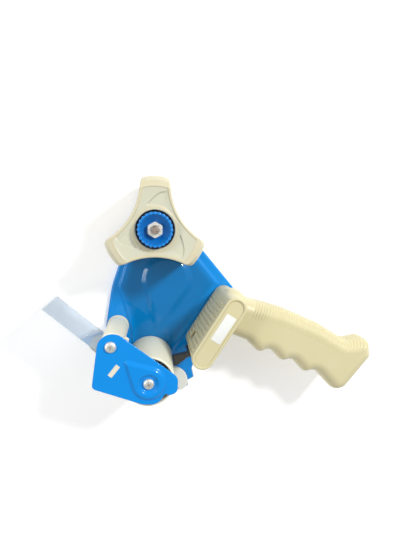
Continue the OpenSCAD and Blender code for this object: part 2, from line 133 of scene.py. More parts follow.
def rounded(outline):
    """The outline's corners rounded with arcs."""
    points, n = [], len(outline)
    for i in range(n):
        p0, p1, p2 = (np.array(outline[k % n][:2], float) for k in (i - 1, i, i + 1))
        r = outline[i][2]
        if r <= 0:
            points.append(p1)
            continue
        v1, v2 = unit(p0 - p1), unit(p2 - p1)
        half = math.acos(float(v1 @ v2)) / 2
        centre = p1 + unit(v1 + v2) * r / math.sin(half)
        start = p1 + v1 * r / math.tan(half) - centre
        turn = (math.pi - 2 * half) * math.copysign(1, cross2(p1 - p0, p2 - p1))
        a0 = math.atan2(start[1], start[0])
        steps = max(2, math.ceil(abs(math.degrees(turn)) / 7))
        for k in range(steps + 1):
            a = a0 + turn * k / steps
            points.append(centre + r * np.array((math.cos(a), math.sin(a))))
    return np.array(points)


def inset(outline, d):
    """The same outline moved inwards by d."""
    moved, n = [], len(outline)
    for i in range(n):
        a, b, c = (np.array(outline[k % n][:2], float) for k in (i - 1, i, i + 1))
        e1, e2 = unit(b - a), unit(c - b)
        n1, n2 = np.array((-e1[1], e1[0])), np.array((-e2[1], e2[0]))
        q = b + (n1 + n2) * d / (1 + float(n1 @ n2))
        r = outline[i][2]
        if r > 0:
            r = max(r - d, 0.3) if cross2(b - a, c - b) > 0 else r + d
        moved.append((q[0], q[1], r))
    return moved


def egg(c, r, s, rs):
    """A large circle drawn out to a small one."""
    v = np.array(s, float) - np.array(c, float)
    phi = math.degrees(math.atan2(v[1], v[0]))
    b = math.degrees(math.acos((r - rs) / np.linalg.norm(v)))
    return np.concatenate((arc(c, r, phi + b, phi + 360 - b, 60), arc(s, rs, phi - b, phi + b, 16)))


def turned(points, degrees):
    a = math.radians(degrees)
    return points @ np.array(((math.cos(a), math.sin(a)), (-math.sin(a), math.cos(a))))


def divided(loop, step):
    """The loop with no edge longer than step."""
    points = []
    for a, b in zip(loop, np.roll(loop, -1, 0)):
        n = max(1, math.ceil(np.linalg.norm(b - a) / step))
        points.extend(a + (b - a) * k / n for k in range(n))
    return np.array(points)


def shrunk(loop, d):
    """A dense loop moved inwards by a small d."""
    along = np.roll(loop, -1, 0) - np.roll(loop, 1, 0)
    along /= np.linalg.norm(along, axis=1)[:, None]
    return loop + d * np.stack((-along[:, 1], along[:, 0]), 1)


def segment_distance(p, a, b):
    d = b - a
    t = np.clip(((p - a) @ d) / max(d @ d, 1e-12), 0, 1)
    return np.linalg.norm(p - a - t[:, None] * d, axis=1)


def line_distance(p, line):
    """Distance of each point from an open line."""
    return np.min([segment_distance(p, a, b) for a, b in zip(line[:-1], line[1:])], 0)


def inside_distance(p, loop):
    """Distance of each point from a closed loop, positive inside it."""
    best = np.full(len(p), 1e9)
    within = np.zeros(len(p), bool)
    for a, b in zip(loop, np.roll(loop, -1, 0)):
        best = np.minimum(best, segment_distance(p, a, b))
        if a[1] != b[1]:
            crosses = (a[1] > p[:, 1]) != (b[1] > p[:, 1])
            x = a[0] + (p[:, 1] - a[1]) * (b[0] - a[0]) / (b[1] - a[1])
            within ^= crosses & (p[:, 0] < x)
    return np.where(within, best, -best)


def ease(t):
    """0 to 1 with a smooth start and end."""
    t = np.clip(t, 0, 1)
    return t * t * (3 - 2 * t)


def plan_mesh(outer, loops, holes, step):
    """Triangles that fill outer but not its holes, with edges along every loop."""
    lines = [outer, *loops, *holes]
    points = np.concatenate(lines)
    edges, first = [], 0
    for line in lines:
        n = len(line)
        edges += [(first + i, first + (i + 1) % n) for i in range(n)]
        first += n
    lo, hi = outer.min(0), outer.max(0)
    x, y = np.meshgrid(np.arange(lo[0], hi[0], step), np.arange(lo[1], hi[1], step * 0.866))
    x[1::2] += step / 2
    grid = np.stack((x.ravel(), y.ravel()), 1)
    grid = grid[inside_distance(grid, outer) > 0.4 * step]
    for line in [*loops, *holes]:
        grid = grid[np.abs(inside_distance(grid, line)) > 0.4 * step]
    points = np.concatenate((points, grid))
    made = delaunay_2d_cdt([Vector(p) for p in points], edges, [], 0, 1e-5)
    verts = np.array([tuple(v) for v in made[0]])
    faces = np.array(made[2])
    middle = verts[faces].mean(1)
    keep = inside_distance(middle, outer) > 0
    for hole in holes:
        keep &= inside_distance(middle, hole) < 0
    faces = faces[keep]
    a, b, c = (verts[faces[:, k]] for k in range(3))
    area = (b - a)[:, 0] * (c - a)[:, 1] - (b - a)[:, 1] * (c - a)[:, 0]
    longest = np.max([np.linalg.norm(q - w, axis=1) for q, w in ((a, b), (b, c), (c, a))], 0)
    solid = np.abs(area) > 0.01 * longest
    faces, area = faces[solid], area[solid]
    faces[area < 0] = faces[area < 0][:, ::-1]
    return verts, faces


# ---------------------------------------------------------------- meshes


class Shape:
    """Vertices and faces in millimetres about the spindle, gathered from several solids."""

    def __init__(self):
        self.verts, self.faces, self.tags = [], [], {}

    def add(self, verts, faces, **tags):
        first = sum(len(v) for v in self.verts)
        verts = np.asarray(verts, float)
        self.verts.append(verts)
        self.faces += [[int(i) + first for i in f] for f in faces]
        for name in sorted({*tags, *self.tags}):
            values = self.tags.setdefault(name, [np.zeros(first)] if first else [])
            values.append(np.broadcast_to(tags.get(name, 0.0), len(verts)).astype(float))
        return self

    def loft(self, loops, closed=False, caps=True):
        """Skin over loops of 3-D points that all have the same number of points."""
        n = len(loops[0])
        faces = []
        rows = len(loops)
        for j in range(rows if closed else rows - 1):
            a, b = j * n, (j + 1) % rows * n
            faces += [(a + i, a + (i + 1) % n, b + (i + 1) % n, b + i) for i in range(n)]
        if caps and not closed:
            faces.append(list(range(n))[::-1])
            faces.append([(rows - 1) * n + i for i in range(n)])
        return self.add(np.concatenate(loops), faces)

    def slab(self, outline, z0, z1, soft):
        """An outline drawn up from z0 to z1, with edges rounded to soft."""
        return self.loft([flat(rounded(inset(outline, d)), z) for d, z in soft_rows(z0, z1, soft)])

    def slab_loop(self, loop, z0, z1, soft):
        """A dense loop drawn up from z0 to z1, with edges rounded to soft."""
        return self.loft([flat(shrunk(loop, d), z) for d, z in soft_rows(z0, z1, soft)])

    def lathe(self, profile, centre=(0, 0), n=64, waves=None):
        """A closed profile of (radius, height, corner radius) turned about a vertical axis."""
        section = rounded(profile)
        rows = []
        for r, z in section:
            a = np.arange(n) * 2 * math.pi / n
            radius = np.maximum(r if waves is None else waves(a, r, z), 0.0005)
            rows.append(np.stack((centre[0] + radius * np.cos(a), centre[1] + radius * np.sin(a),
                                  np.full(n, z)), 1))
        return self.loft(rows, closed=True)


def soft_rows(z0, z1, soft):
    """(distance inwards, height) of each row of a slab with rounded edges."""
    rows = []
    for a in np.linspace(0, math.pi / 2, 4):
        rows.append((soft * (1 - math.sin(a)), z0 + soft * (1 - math.cos(a))))
    return rows + [(d, z1 - (z - z0)) for d, z in rows[::-1]]


def flat(loop, z):
    return np.column_stack((loop, np.broadcast_to(z, len(loop))))


def tube(r_out, r_in, z0, z1, soft=0.25):
    """Profile of a ring."""
    return [(r_in, z0, soft), (r_out, z0, soft), (r_out, z1, soft), (r_in, z1, soft)]


def build(name, shape, body, material, replaces=(), sharp=35, shell=0.0, bend=None):
    """Turns a shape into a piece that rides on a body and stands for CAD nodes."""
    verts = np.concatenate(shape.verts) * MM
    verts[:, 0] += SPINDLE.x
    verts[:, 1] += SPINDLE.y
    mesh = bpy.data.meshes.new(name)
    mesh.from_pydata(verts.tolist(), [], shape.faces)
    for tag, values in shape.tags.items():
        layer = mesh.attributes.new(tag, "FLOAT", "POINT")
        layer.data.foreach_set("value", np.concatenate(values).astype(np.float32))
    mesh.materials.append(material)
    mesh.validate()
    weld(mesh)
    obj = bpy.data.objects.new(name, mesh)
    bpy.context.scene.collection.objects.link(obj)
    if shell:
        thick = obj.modifiers.new("thickness", "SOLIDIFY")
        thick.thickness = shell * MM
        thick.offset = -1
        thick.use_quality_normals = True
        apply_modifiers(obj)
    obj.data.shade_smooth()
    obj.data.set_sharp_from_angle(angle=math.radians(sharp))
    if bend:
        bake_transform(obj)
    else:
        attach(obj, body)
    if replaces:
        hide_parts(*replaces)


def weld(mesh):
    """Joins the vertices that lie on each other."""
    joined = bmesh.new()
    joined.from_mesh(mesh)
    bmesh.ops.remove_doubles(joined, verts=joined.verts, dist=WELD * MM)
    joined.to_mesh(mesh)
    joined.free()


def apply_modifiers(obj):
    graph = bpy.context.evaluated_depsgraph_get()
    old = obj.data
    obj.data = bpy.data.meshes.new_from_object(obj.evaluated_get(graph))
    obj.modifiers.clear()
    bpy.data.meshes.remove(old)


# ---------------------------------------------------------------- materials


class Finish:
    """A material and the few node shapes that its detail is made of."""

    def __init__(self, name, colour, roughness, metallic=0.0, **sockets):
        self.material = bpy.data.materials.new(name)
        self.material.use_nodes = True
        self.tree = self.material.node_tree
        self.shader = self.tree.nodes["Principled BSDF"]
        self.colour = (*colour, 1)
        self.shader.inputs["Base Color"].default_value = self.colour
        self.shader.inputs["Roughness"].default_value = roughness
        self.shader.inputs["Metallic"].default_value = metallic
        for socket, value in sockets.items():
            self.shader.inputs[socket.replace("_", " ")].default_value = value
        self.place = self.tree.nodes.new("ShaderNodeTexCoord").outputs["Object"]

    def node(self, kind, **values):
        made = self.tree.nodes.new(kind)
        for name, value in values.items():
            setattr(made, name, value)
        return made

    def link(self, a, b):
        self.tree.links.new(a, b)

    def noise(self, per_mm, detail=3, stretch=(1, 1, 1)):
        """Noise with about per_mm features in a millimetre."""
        scale = self.node("ShaderNodeMapping")
        scale.inputs["Scale"].default_value = stretch
        self.link(self.place, scale.inputs["Vector"])
        noise = self.node("ShaderNodeTexNoise")
        noise.inputs["Scale"].default_value = per_mm / MM
        noise.inputs["Detail"].default_value = detail
        self.link(scale.outputs["Vector"], noise.inputs["Vector"])
        return noise.outputs["Fac"]

    def band(self, value, lo, hi, to_lo=0.0, to_hi=1.0):
        """value taken from lo..hi to to_lo..to_hi."""
        ramp = self.node("ShaderNodeMapRange", clamp=True)
        for socket, number in zip(("From Min", "From Max", "To Min", "To Max"), (lo, hi, to_lo, to_hi)):
            ramp.inputs[socket].default_value = number
        self.link(value, ramp.inputs["Value"])
        return ramp.outputs["Result"]

    def times(self, a, b):
        product = self.node("ShaderNodeMath", operation="MULTIPLY")
        self.link(a, product.inputs[0])
        self.link(b, product.inputs[1])
        return product.outputs[0]

    def tag(self, name):
        return self.node("ShaderNodeAttribute", attribute_name=name).outputs["Fac"]

    def tint(self, mask, colour):
        """Mixes colour over the base colour where mask is 1."""
        mix = self.node("ShaderNodeMix", data_type="RGBA")
        base = self.shader.inputs["Base Color"]
        if base.is_linked:
            self.link(base.links[0].from_socket, mix.inputs["A"])
        else:
            mix.inputs["A"].default_value = self.colour
        mix.inputs["B"].default_value = (*colour, 1)
        self.link(mask, mix.inputs["Factor"])
        self.link(mix.outputs["Result"], base)

    def drive(self, socket, value):
        self.link(value, self.shader.inputs[socket])

    def bump(self, height, distance_mm):
        bump = self.node("ShaderNodeBump")
        bump.inputs["Distance"].default_value = distance_mm * MM
        self.link(height, bump.inputs["Height"])
        self.link(bump.outputs["Normal"], self.shader.inputs["Normal"])


def make_paint(name, coat, coat_roughness):
    """Glossy blue enamel with shade painted darker into the field, fine scratches and bare metal on cut
    edges.
    """
    f = Finish(name, (0.0, 0.25, 0.72), 0.3, Specular_IOR_Level=0.1, Coat_Weight=coat,
               Coat_Roughness=coat_roughness)
    f.tint(f.band(f.noise(0.02, 2), 0.3, 0.7, 0.0, 0.35), (0.0, 0.28, 0.82))
    # painted shade: a darker blue mixed in where the shading tag marks the sunken field
    f.tint(f.tag("deep"), (0.0, 0.165, 0.45))
    scratches = f.band(f.noise(0.9, 2, (0.2, 1, 1)), 0.7, 0.76)
    f.drive("Roughness", f.band(scratches, 0, 1, 0.28, 0.4))
    chipped = f.times(f.tag("edge"), f.band(f.noise(0.45, 3), 0.7, 0.73))
    f.tint(chipped, (0.62, 0.62, 0.6))
    f.tint(f.tag("bare"), (0.68, 0.68, 0.66))
    f.drive("Metallic", f.tag("bare"))
    f.bump(f.noise(0.35, 1), 0.012)
    return f.material


def make_plastic(name, colour, shade, roughness=0.38, grain=0.02, subsurface=0.08, dirt=0.5, deep=None):
    """Moulded plastic with flow marks, a fine grain and a little dirt, and an optional colour painted in as
    shading where the shading tag marks it.
    """
    f = Finish(name, colour, roughness, Subsurface_Weight=subsurface, Subsurface_Scale=0.004)
    f.shader.inputs["Subsurface Radius"].default_value = (1.0, 0.7, 0.4)
    f.tint(f.band(f.noise(0.03, 3), 0.35, 0.75, 0.0, 0.5), shade)
    # painted shading: the given colour mixed in where the shading tag is set
    if deep:
        f.tint(f.tag("deep"), deep)
    specks = f.times(f.band(f.noise(0.6, 2), 0.7, 0.76), f.band(f.noise(0.05, 1), 0.5, 0.6))
    f.tint(f.band(specks, 0, 1, 0, dirt), tuple(c * 0.55 for c in colour))
    f.drive("Roughness", f.band(f.noise(0.12, 3), 0.3, 0.7, roughness - 0.06, roughness + 0.08))
    f.bump(f.noise(3.0, 2), grain)
    return f.material


def make_roller_plastic():
    """Off-white roller: fine turned rings and a rubbed band."""
    f = Finish("roller_plastic", (0.88, 0.85, 0.68), 0.4, Subsurface_Weight=0.1, Subsurface_Scale=0.004)
    f.shader.inputs["Subsurface Radius"].default_value = (1.0, 0.8, 0.5)
    rings = f.noise(0.9, 3, (0.01, 0.01, 1))
    f.tint(f.band(f.noise(0.06, 3, (1, 1, 0.4)), 0.4, 0.7, 0.0, 0.4), (0.82, 0.79, 0.62))
    f.tint(f.band(rings, 0.45, 0.75, 0.0, 0.25), (0.74, 0.71, 0.56))
    f.bump(rings, 0.03)
    return f.material


def make_zinc(name, colour, roughness=0.3, spots=0.4, metallic=1.0):
    """Plated steel with cloudy spangle and fine wear."""
    f = Finish(name, colour, roughness, metallic)
    f.tint(f.band(f.noise(0.5, 4), 0.4, 0.7, 0.0, spots), tuple(c * 0.62 for c in colour))
    f.drive("Roughness", f.band(f.noise(0.8, 3), 0.3, 0.7, roughness - 0.08, roughness + 0.15))
    f.bump(f.noise(1.6, 3), 0.012)
    return f.material


def make_ground_steel():
    """Ground spring steel: fine lines across the cutting edge."""
    f = Finish("blade_steel", (0.72, 0.73, 0.74), 0.22, 1.0)
    lines = f.noise(1.2, 2, (1, 1, 0.03))
    f.drive("Roughness", f.band(lines, 0.35, 0.65, 0.16, 0.34))
    f.bump(lines, 0.006)
    return f.material


def make_stud():
    """Brownish plated bolt end."""
    f = Finish("bolt_steel", (0.5, 0.42, 0.35), 0.38, 1.0)
    f.tint(f.band(f.noise(0.7, 4), 0.45, 0.7, 0.0, 0.7), (0.28, 0.2, 0.15))
    f.drive("Roughness", f.band(f.noise(1.1, 3), 0.3, 0.7, 0.3, 0.55))
    f.bump(f.noise(2.0, 3), 0.02)
    return f.material


def make_mottled(name, colour, roughness, patches, patch_colour, grain, **sockets):
    """A material with soft patches of (features per mm, detail, low, high, share) and a grain of
    (features per mm, detail, depth in mm)."""
    f = Finish(name, colour, roughness, **sockets)
    per_mm, detail, lo, hi, share = patches
    f.tint(f.band(f.noise(per_mm, detail), lo, hi, 0.0, share), patch_colour)
    per_mm, detail, depth = grain
    f.bump(f.noise(per_mm, detail), depth)
    return f.material


def make_paper():
    """Blank white paper label."""
    f = Finish("label_paper", (0.78, 0.79, 0.76), 0.62)
    f.tint(f.band(f.noise(0.3, 4), 0.4, 0.7, 0.0, 0.3), (0.72, 0.73, 0.68))
    f.tint(f.band(f.noise(1.8, 3, (1, 0.2, 1)), 0.55, 0.75, 0.0, 0.25), (0.68, 0.68, 0.62))
    f.bump(f.noise(2.0, 4), 0.01)
    return f.material


def make_clear():
    """Clear bluish sheet: scratched in the middle, with a white highlight painted along its cut edges."""
    f = Finish("clear_sheet", (0.56, 0.66, 0.76), 0.08, IOR=1.45)
    scratch = f.band(f.noise(0.35, 3, (1, 1, 0.25)), 0.66, 0.7)
    # painted highlight: the sheet's rim from the edge tag is painted white and opaque, together with real
    # scratches
    edge = f.tag("edge")
    scratches_and_highlight = f.node("ShaderNodeMath", operation="MAXIMUM")
    f.link(edge, scratches_and_highlight.inputs[0])
    f.link(f.times(scratch, f.band(f.noise(0.06, 1), 0.45, 0.55)), scratches_and_highlight.inputs[1])
    f.tint(scratches_and_highlight.outputs[0], (0.9, 0.93, 0.95))
    f.drive("Transmission Weight", f.band(scratches_and_highlight.outputs[0], 0, 1, 0.86, 0.2))
    f.drive("Roughness", f.band(scratches_and_highlight.outputs[0], 0, 1, 0.07, 0.45))
    f.bump(f.noise(0.1, 2), 0.05)
    return f.material


PAINT = make_paint("blue_enamel", 0.7, 0.035)
NOSE_PAINT = make_paint("nose_enamel", 0.42, 0.09)
CREAM = make_plastic("cream_plastic", (0.62, 0.56, 0.33), (0.66, 0.61, 0.39))
# painted shading: the hub's shading colour is a greyer tint painted over its dishes
HUB_CREAM = make_plastic("hub_plastic", (0.62, 0.57, 0.39), (0.66, 0.62, 0.46), 0.36, dirt=0.2,
                         deep=(0.6, 0.59, 0.45))
BRIDGE_CREAM = make_plastic("bridge_plastic", (0.78, 0.74, 0.6), (0.72, 0.68, 0.53), 0.4)
# painted shade: the knob's shading colour is a darker blue painted into its bowl
KNOB_BLUE = make_plastic("knob_plastic", (0.0, 0.2, 0.62), (0.0, 0.23, 0.7), 0.3, 0.01, 0.0, 0.2,
                         (0.0, 0.1, 0.36))
GUIDE_WHITE = make_plastic("edge_guide_plastic", (0.72, 0.74, 0.7), (0.66, 0.68, 0.62), 0.3, 0.01, 0.3)
ROLLER = make_roller_plastic()
ZINC = make_zinc("zinc_steel", (0.78, 0.77, 0.74))
SATIN = make_zinc("pan_head_steel", (0.84, 0.84, 0.79), 0.42, 0.4, 0.85)
SHINY = make_zinc("nut_steel", (0.93, 0.92, 0.86), 0.3, 0.1, 0.7)
DARK_STEEL = make_zinc("blackened_steel", (0.12, 0.12, 0.12), 0.4)
BLADE = make_ground_steel()
STUD = make_stud()
DARK = make_mottled("dark_polymer", (0.075, 0.075, 0.072), 0.5, (0.2, 4, 0.4, 0.7, 0.6), (0.11, 0.11, 0.105),
                    (2.5, 3, 0.03))
FELT = make_mottled("brake_felt", (0.16, 0.13, 0.1), 0.95, (1.5, 5, 0.4, 0.65, 0.8), (0.26, 0.22, 0.17),
                    (2.5, 5, 0.15), Sheen_Weight=0.4)
NYLON = make_mottled("white_nylon", (0.8, 0.79, 0.74), 0.35, (0.08, 3, 0.35, 0.7, 0.4), (0.72, 0.71, 0.64),
                     (1.5, 2, 0.015), Subsurface_Weight=0.25, Subsurface_Scale=0.005)
LABEL_PAPER = make_paper()
CLEAR = make_clear()

# ---------------------------------------------------------------- pressed plates


def pressed_sheet(outline, roll, height, step, foot=None, lines=(), holes=(), bare=None, deep=None):
    """Top skin of a pressed plate: height() over its plan, rolled over at the rim and down to foot."""
    outer = divided(rounded(outline), step * 1.2)
    depths = [roll * (1 - math.cos(a)) for a in np.radians((22, 45, 66, 90))]
    rings = [divided(rounded(inset(outline, d)), step * 1.2) for d in depths]
    verts, faces = plan_mesh(outer, [*rings, *lines], holes, step)
    d = np.clip(inside_distance(verts, outer), 0, None)
    d[:len(outer)] = 0
    drop = roll - np.sqrt(roll**2 - np.clip(roll - d, 0, roll) ** 2)
    z = height(verts) - drop
    bared = np.zeros(len(verts)) if bare is None else bare(verts) * (d < 0.7)
    # the shading tag marks where shade is painted into the plate's colour
    shading_amount = 0.0 if deep is None else deep(verts)
    shape = Shape().add(np.column_stack((verts, z)), faces, edge=ease(1 - d / 1.2), bare=bared, deep=shading_amount)
    if foot is not None:
        n = len(outer)
        rows = [flat(outer, z[:n] + (foot - z[:n]) * t) for t in (0, 0.3, 0.7, 1)]
        for a, b in zip(rows[:-1], rows[1:]):
            ring = [(n + i, n + (i + 1) % n, (i + 1) % n, i) for i in range(n)]
            shape.add(np.concatenate((a, b)), ring, edge=1.0, bare=np.tile(bared[:n], 2))
    return shape


def smooth_line(points):
    """A smooth curve through the points."""
    p = np.array(points, float)
    p = np.concatenate((2 * p[:1] - p[1:2], p, 2 * p[-1:] - p[-2:-1]))
    made = []
    for i in range(1, len(p) - 2):
        for t in np.arange(8) / 8:
            a, b, c, d = p[i - 1:i + 3]
            made.append(0.5 * (2 * b + (c - a) * t + (2 * a - 5 * b + 4 * c - d) * t**2
                               + (3 * b - a - 3 * c + d) * t**3))
    return np.array([*made, p[-2]])


def make_frame_plate():
    field, boss = rounded(FIELD), egg(*PLATE_BOSS)

    def height(p):
        z = BAND_Z + (FIELD_Z - BAND_Z) * ease((inside_distance(p, field) + 0.4) / 2.0)
        fade = 0.35 + 0.65 * ease((np.linalg.norm(p - PLATE_BOSS[2], axis=1) - 4) / 30)
        return z + (BOSS_Z - FIELD_Z) * fade * ease(inside_distance(p, boss) / 6.6)

    def bare(p):
        return ((p[:, 0] > 17) & (p[:, 1] < -118)).astype(float)

    # painted shade, growing from just outside the field's edge towards its middle
    def deep(p):
        return ease((inside_distance(p, field) + 1) / 9)

    shape = pressed_sheet(PLATE, 1.7, height, 0.9, foot=0.0, bare=bare, deep=deep)
    build("pressed_frame_plate", shape, "frame", PAINT, ["frame_plate"], 50, PLATE_T)


def make_nose_plate():
    boss = egg(*NOSE_BOSS)

    def height(p):
        z = NOSE_Z + 2.0 * ease(inside_distance(p, boss) / 3.2)
        dish = 1 - ease((np.linalg.norm(p - APPLICATOR, axis=1) - 5.2) / 2.6)
        return z + (NOSE_Z - z) * dish

    shape = pressed_sheet(NOSE, 0.5, height, 0.6)
    build("pressed_nose_plate", shape, "frame", NOSE_PAINT, ["nose_plate"], 50, NOSE_T)


# ---------------------------------------------------------------- fasteners


def cross_outline(long, wide):
    """Outline of a cross whose arms reach out to long and are 2 wide across."""
    quarter = [(long, -wide), (long, wide), (wide, wide)]
    return np.concatenate([turned(np.array(quarter), 90 * k) for k in range(4)])


def cross_screw(shape, place, z, head, shank, turn=0.0, down=False):
    """Pan-head screw with a cross recess. head is (radius, height), shank (radius, length)."""
    side = -1 if down else 1
    rim = arc((0, 0), head[0], 0, 354, 59)
    long, wide = 0.42 * head[0], 0.11 * head[0]
    mouth = divided(cross_outline(long, wide), 0.4)
    floor = divided(cross_outline(long - 0.3, wide - 0.15), 0.4)
    verts, faces = plan_mesh(rim, [rim * 0.97, rim * 0.9, rim * 0.8, mouth, floor], [], head[0] / 12)
    r = np.linalg.norm(verts, axis=1) / head[0]
    dome = head[1] * (0.3 + 0.7 * np.clip(1 - r**3.2, 0, 1) ** 0.6)
    depth = head[1] * (0.75 - 0.5 * r)
    top = dome - depth * ease(inside_distance(verts, mouth) / 0.15)
    c, s = math.cos(turn), math.sin(turn)
    spin = np.array(((c, s), (-s, c)))
    verts = verts @ spin
    rim = rim @ spin

    def put(points, heights):
        return np.column_stack((points + place, z + side * heights))

    def facing(f):
        return [tuple(q)[::side] for q in f]

    shape.add(put(verts, top), facing(faces))
    n = len(rim)
    rows = [put(rim, np.full(n, h)) for h in (dome.min(), 0.0)]
    shape.add(np.concatenate(rows), facing([(n + i, n + (i + 1) % n, (i + 1) % n, i) for i in range(n)]))
    shape.add(rows[1], facing([list(range(n))[::-1]]))
    thread(shape, place, shank[0], 0.7, z - side * shank[1], z - side * 0.02)


def thread(shape, place, r, pitch, z0, z1, depth=0.12, n=28):
    """Helical thread between two heights."""
    lo, hi = min(z0, z1), max(z0, z1)
    a = np.arange(n) * 2 * math.pi / n
    rows = []
    for j in range(int(2 * (hi - lo) / pitch) + 3):
        z = lo - pitch + (j / 2 + a / (2 * math.pi)) * pitch
        z = np.clip(z, lo, hi)
        radius = r - (depth * pitch * 2 if j % 2 else 0)
        rows.append(np.column_stack((place[0] + radius * np.cos(a), place[1] + radius * np.sin(a), z)))
    shape.loft(rows)


def hex_waves(across):
    """Cuts a turned profile down to a hexagon."""
    def waves(a, r, z):
        if r < 0.42 * across:
            return r
        sector = np.mod(a + math.pi / 6, math.pi / 3) - math.pi / 6
        return np.minimum(r, across / 2 / np.cos(sector))
    return waves


def hex_profile(r_in, across, z0, z1):
    out = across / 2 / math.cos(math.pi / 6)
    return [(r_in, z0, 0.1), (out * 0.93, z0, 0.1), (out + 0.01, z0 + 0.45, 0.1),
            (out + 0.01, z1 - 0.45, 0.1), (out * 0.93, z1, 0.1), (r_in, z1, 0.1)]


def make_screws(name, node, places, seats, head, shank, turns, material, down=True):
    shape = Shape()
    for place, seat, turn in zip(places, seats, turns):
        cross_screw(shape, place, seat, head, shank, turn, down)
    build(name, shape, "frame", material, [node])


def make_fasteners():
    axles = (APPLICATOR, GUIDE)
    under = BAND_Z - PLATE_T
    make_screws("nose_pan_screws", "nose_screws", axles, (NOSE_Z, NOSE_Z), (4.1, 2.4), (1.95, 9), (0.35, 1.2),
                SATIN, False)
    make_screws("rear_pan_screws", "rear_screws", axles, (FIELD_Z - PLATE_T, under), (4.3, 2.4), (1.95, 10),
                (0.2, 0.9), ZINC)
    make_screws("base_screws", "handle_screws", HANDLE_SCREWS, (under,) * 3, (3.7, 2.2), (1.85, 18),
                (0, 0.4, 0.8), ZINC)
    make_screws("grip_back_screws", "grip_screws", GRIP_SCREWS, (GRIP_Z0 + 5,) * 3, (3.2, 2), (1.45, 17),
                (0, 0.5, 1.0), ZINC)
    blade = Shape()
    for height in BLADE_SCREW_HEIGHTS:
        screw = Shape()
        cross_screw(screw, (0, 0), 0, (2.6, 1.6), (1.15, 2.8), 0.3)
        x, y, z = np.concatenate(screw.verts).T
        plan = from_bar(np.stack((BLADE_SCREW_U - x, BLADE_BACK - z), 1))
        blade.add(np.column_stack((plan, height + y)), screw.faces)
    build("blade_screw_pair", blade, "frame", ZINC, ["blade_screws"])
    rivets = Shape()
    for p in RIVETS:
        rivets.lathe([(0, 1.6, 0), (2.3, 1.7, 0.6), (2.6, 3, 0.2), (1.45, 3, 0), (1.45, 7.5, 0),
                      (2.3, 8.7, 0.2), (0, 8.7, 0)], p, 32)
    build("edge_guide_rivet_pair", rivets, "frame", GUIDE_WHITE, ["edge_guide_rivets"])
    foot = [(0, 1.8, 0), (2.2, 1.8, 0.5), (2.2, 3, 0.1), (1.2, 3, 0)]
    collar = [(1.2, 4.5, 0), (1.5, 4.5, 0.1), (1.5, 6, 0.2), (1.2, 6, 0)]
    cap = [(1.2, 26.8, 0), (1.4, 26.8, 0.1), (1.4, 27.6, 0.3), (0, 27.6, 0)]
    pin = Shape().lathe([*foot, *collar, *cap], STAY, 32)
    build("tape_stay_pin", pin, "frame", DARK_STEEL, ["stay_pin"])


# ---------------------------------------------------------------- nose


def from_bar(points):
    """(down to the cutting edge, towards the flap) in the crossbar's section to the plan."""
    down = -np.array((math.cos(BAR_ANGLE), math.sin(BAR_ANGLE)))
    out = np.array((-math.sin(BAR_ANGLE), math.cos(BAR_ANGLE)))
    points = np.array(points, float)
    return BAR + points[:, :1] * down + points[:, 1:] * out


def bar_block(u0, u1, w0, w1):
    """Outline of a rectangle in the crossbar's section."""
    corners = from_bar([(u0, w0), (u0, w1), (u1, w1), (u1, w0)])
    return [(*c, 0.5) for c in corners]


def make_bridge():
    shape = Shape()
    tab = bar_block(-4.95, 4.95, -1.75, 1.75)
    rows = [(0.2, 3), (0, 3.2), (0, NOSE_Z), (0.2, NOSE_Z + 0.2), (0.6, NOSE_Z + 0.2), (0.7, NOSE_Z + 0.03)]
    shape.loft([flat(rounded(inset(tab, d)), z) for d, z in rows])
    shape.slab(bar_block(-4.95, 9, -1.75, 1.75), BAND_Z, NOSE_IN, 0.2)
    for u in (-3.3, -0.5):
        shape.slab(bar_block(u, u + 2, 1.4, 5.05), 6.8, 58.3, 0.4)
    shape.slab(CHEEK, NOSE_IN - 3.8, NOSE_IN, 0.5)
    shape.slab_loop(egg(GUIDE, 8.9, (-31, -100), 4), BAND_Z, BAND_Z + 2, 0.4)
    build("nose_bridge_moulding", shape, "frame", BRIDGE_CREAM, ["nose_bridge"])


def make_blade():
    """Serrated strip with ground teeth."""
    teeth, pitch, v0 = 20, 2.5, 7.3
    back, front = BLADE_BACK, BLADE_FRONT
    shape = Shape()
    for k in range(2 * teeth):
        v = v0 + k * pitch / 2
        tips = (17.5, 19.3) if k % 2 == 0 else (19.3, 17.5)
        corners = []
        for u_end, height in ((tips[0], v), (tips[1], v + pitch / 2)):
            for u, w in ((-2, back), (-2, front), (13.5, front), (u_end, back + 0.25), (u_end, back)):
                x, y = from_bar([(u, w)])[0]
                corners.append((x, y, height))
        first, last = corners[:5], corners[5:]
        faces = [(i, (i + 1) % 5, 5 + (i + 1) % 5, 5 + i) for i in range(5)]
        if k == 0:
            faces.append((4, 3, 2, 1, 0))
        if k == 2 * teeth - 1:
            faces.append((5, 6, 7, 8, 9))
        shape.add(first + last, faces)
    build("serrated_blade", shape, "frame", BLADE, ["cutting_blade"], 20)


def make_round(name, nodes, body, profile, material, n=64, waves=None, deep=None, centre=(0, 0)):
    """A turned piece. The optional shading function tells from radius and height how much painted shade each
    vertex gets.
    """
    shape = Shape().lathe(profile, centre, n, waves)
    if deep:
        verts = shape.verts[0]
        shape.tags["deep"] = [deep(np.hypot(verts[:, 0] - centre[0], verts[:, 1] - centre[1]), verts[:, 2])]
    build(name, shape, body, material, nodes)


def make_edge_guide():
    """Milky tongue beside the applicator roller, with a hollow for the roller."""
    hollow = arc(APPLICATOR, 19.8, -25, -52, 14)
    bow = arc((14.6, -131.1), 13, -12, 92, 24)
    loop = np.concatenate((hollow, [(20.6, -138.2), (22.2, -139), (23.4, -138.6), (27, -134.9)], bow))
    loop = divided(loop, 0.8)
    shape = Shape().slab_loop(loop, FIELD_Z + 0.05, 9, 0.5)
    build("edge_guide_tongue", shape, "frame", GUIDE_WHITE, ["edge_guide"])


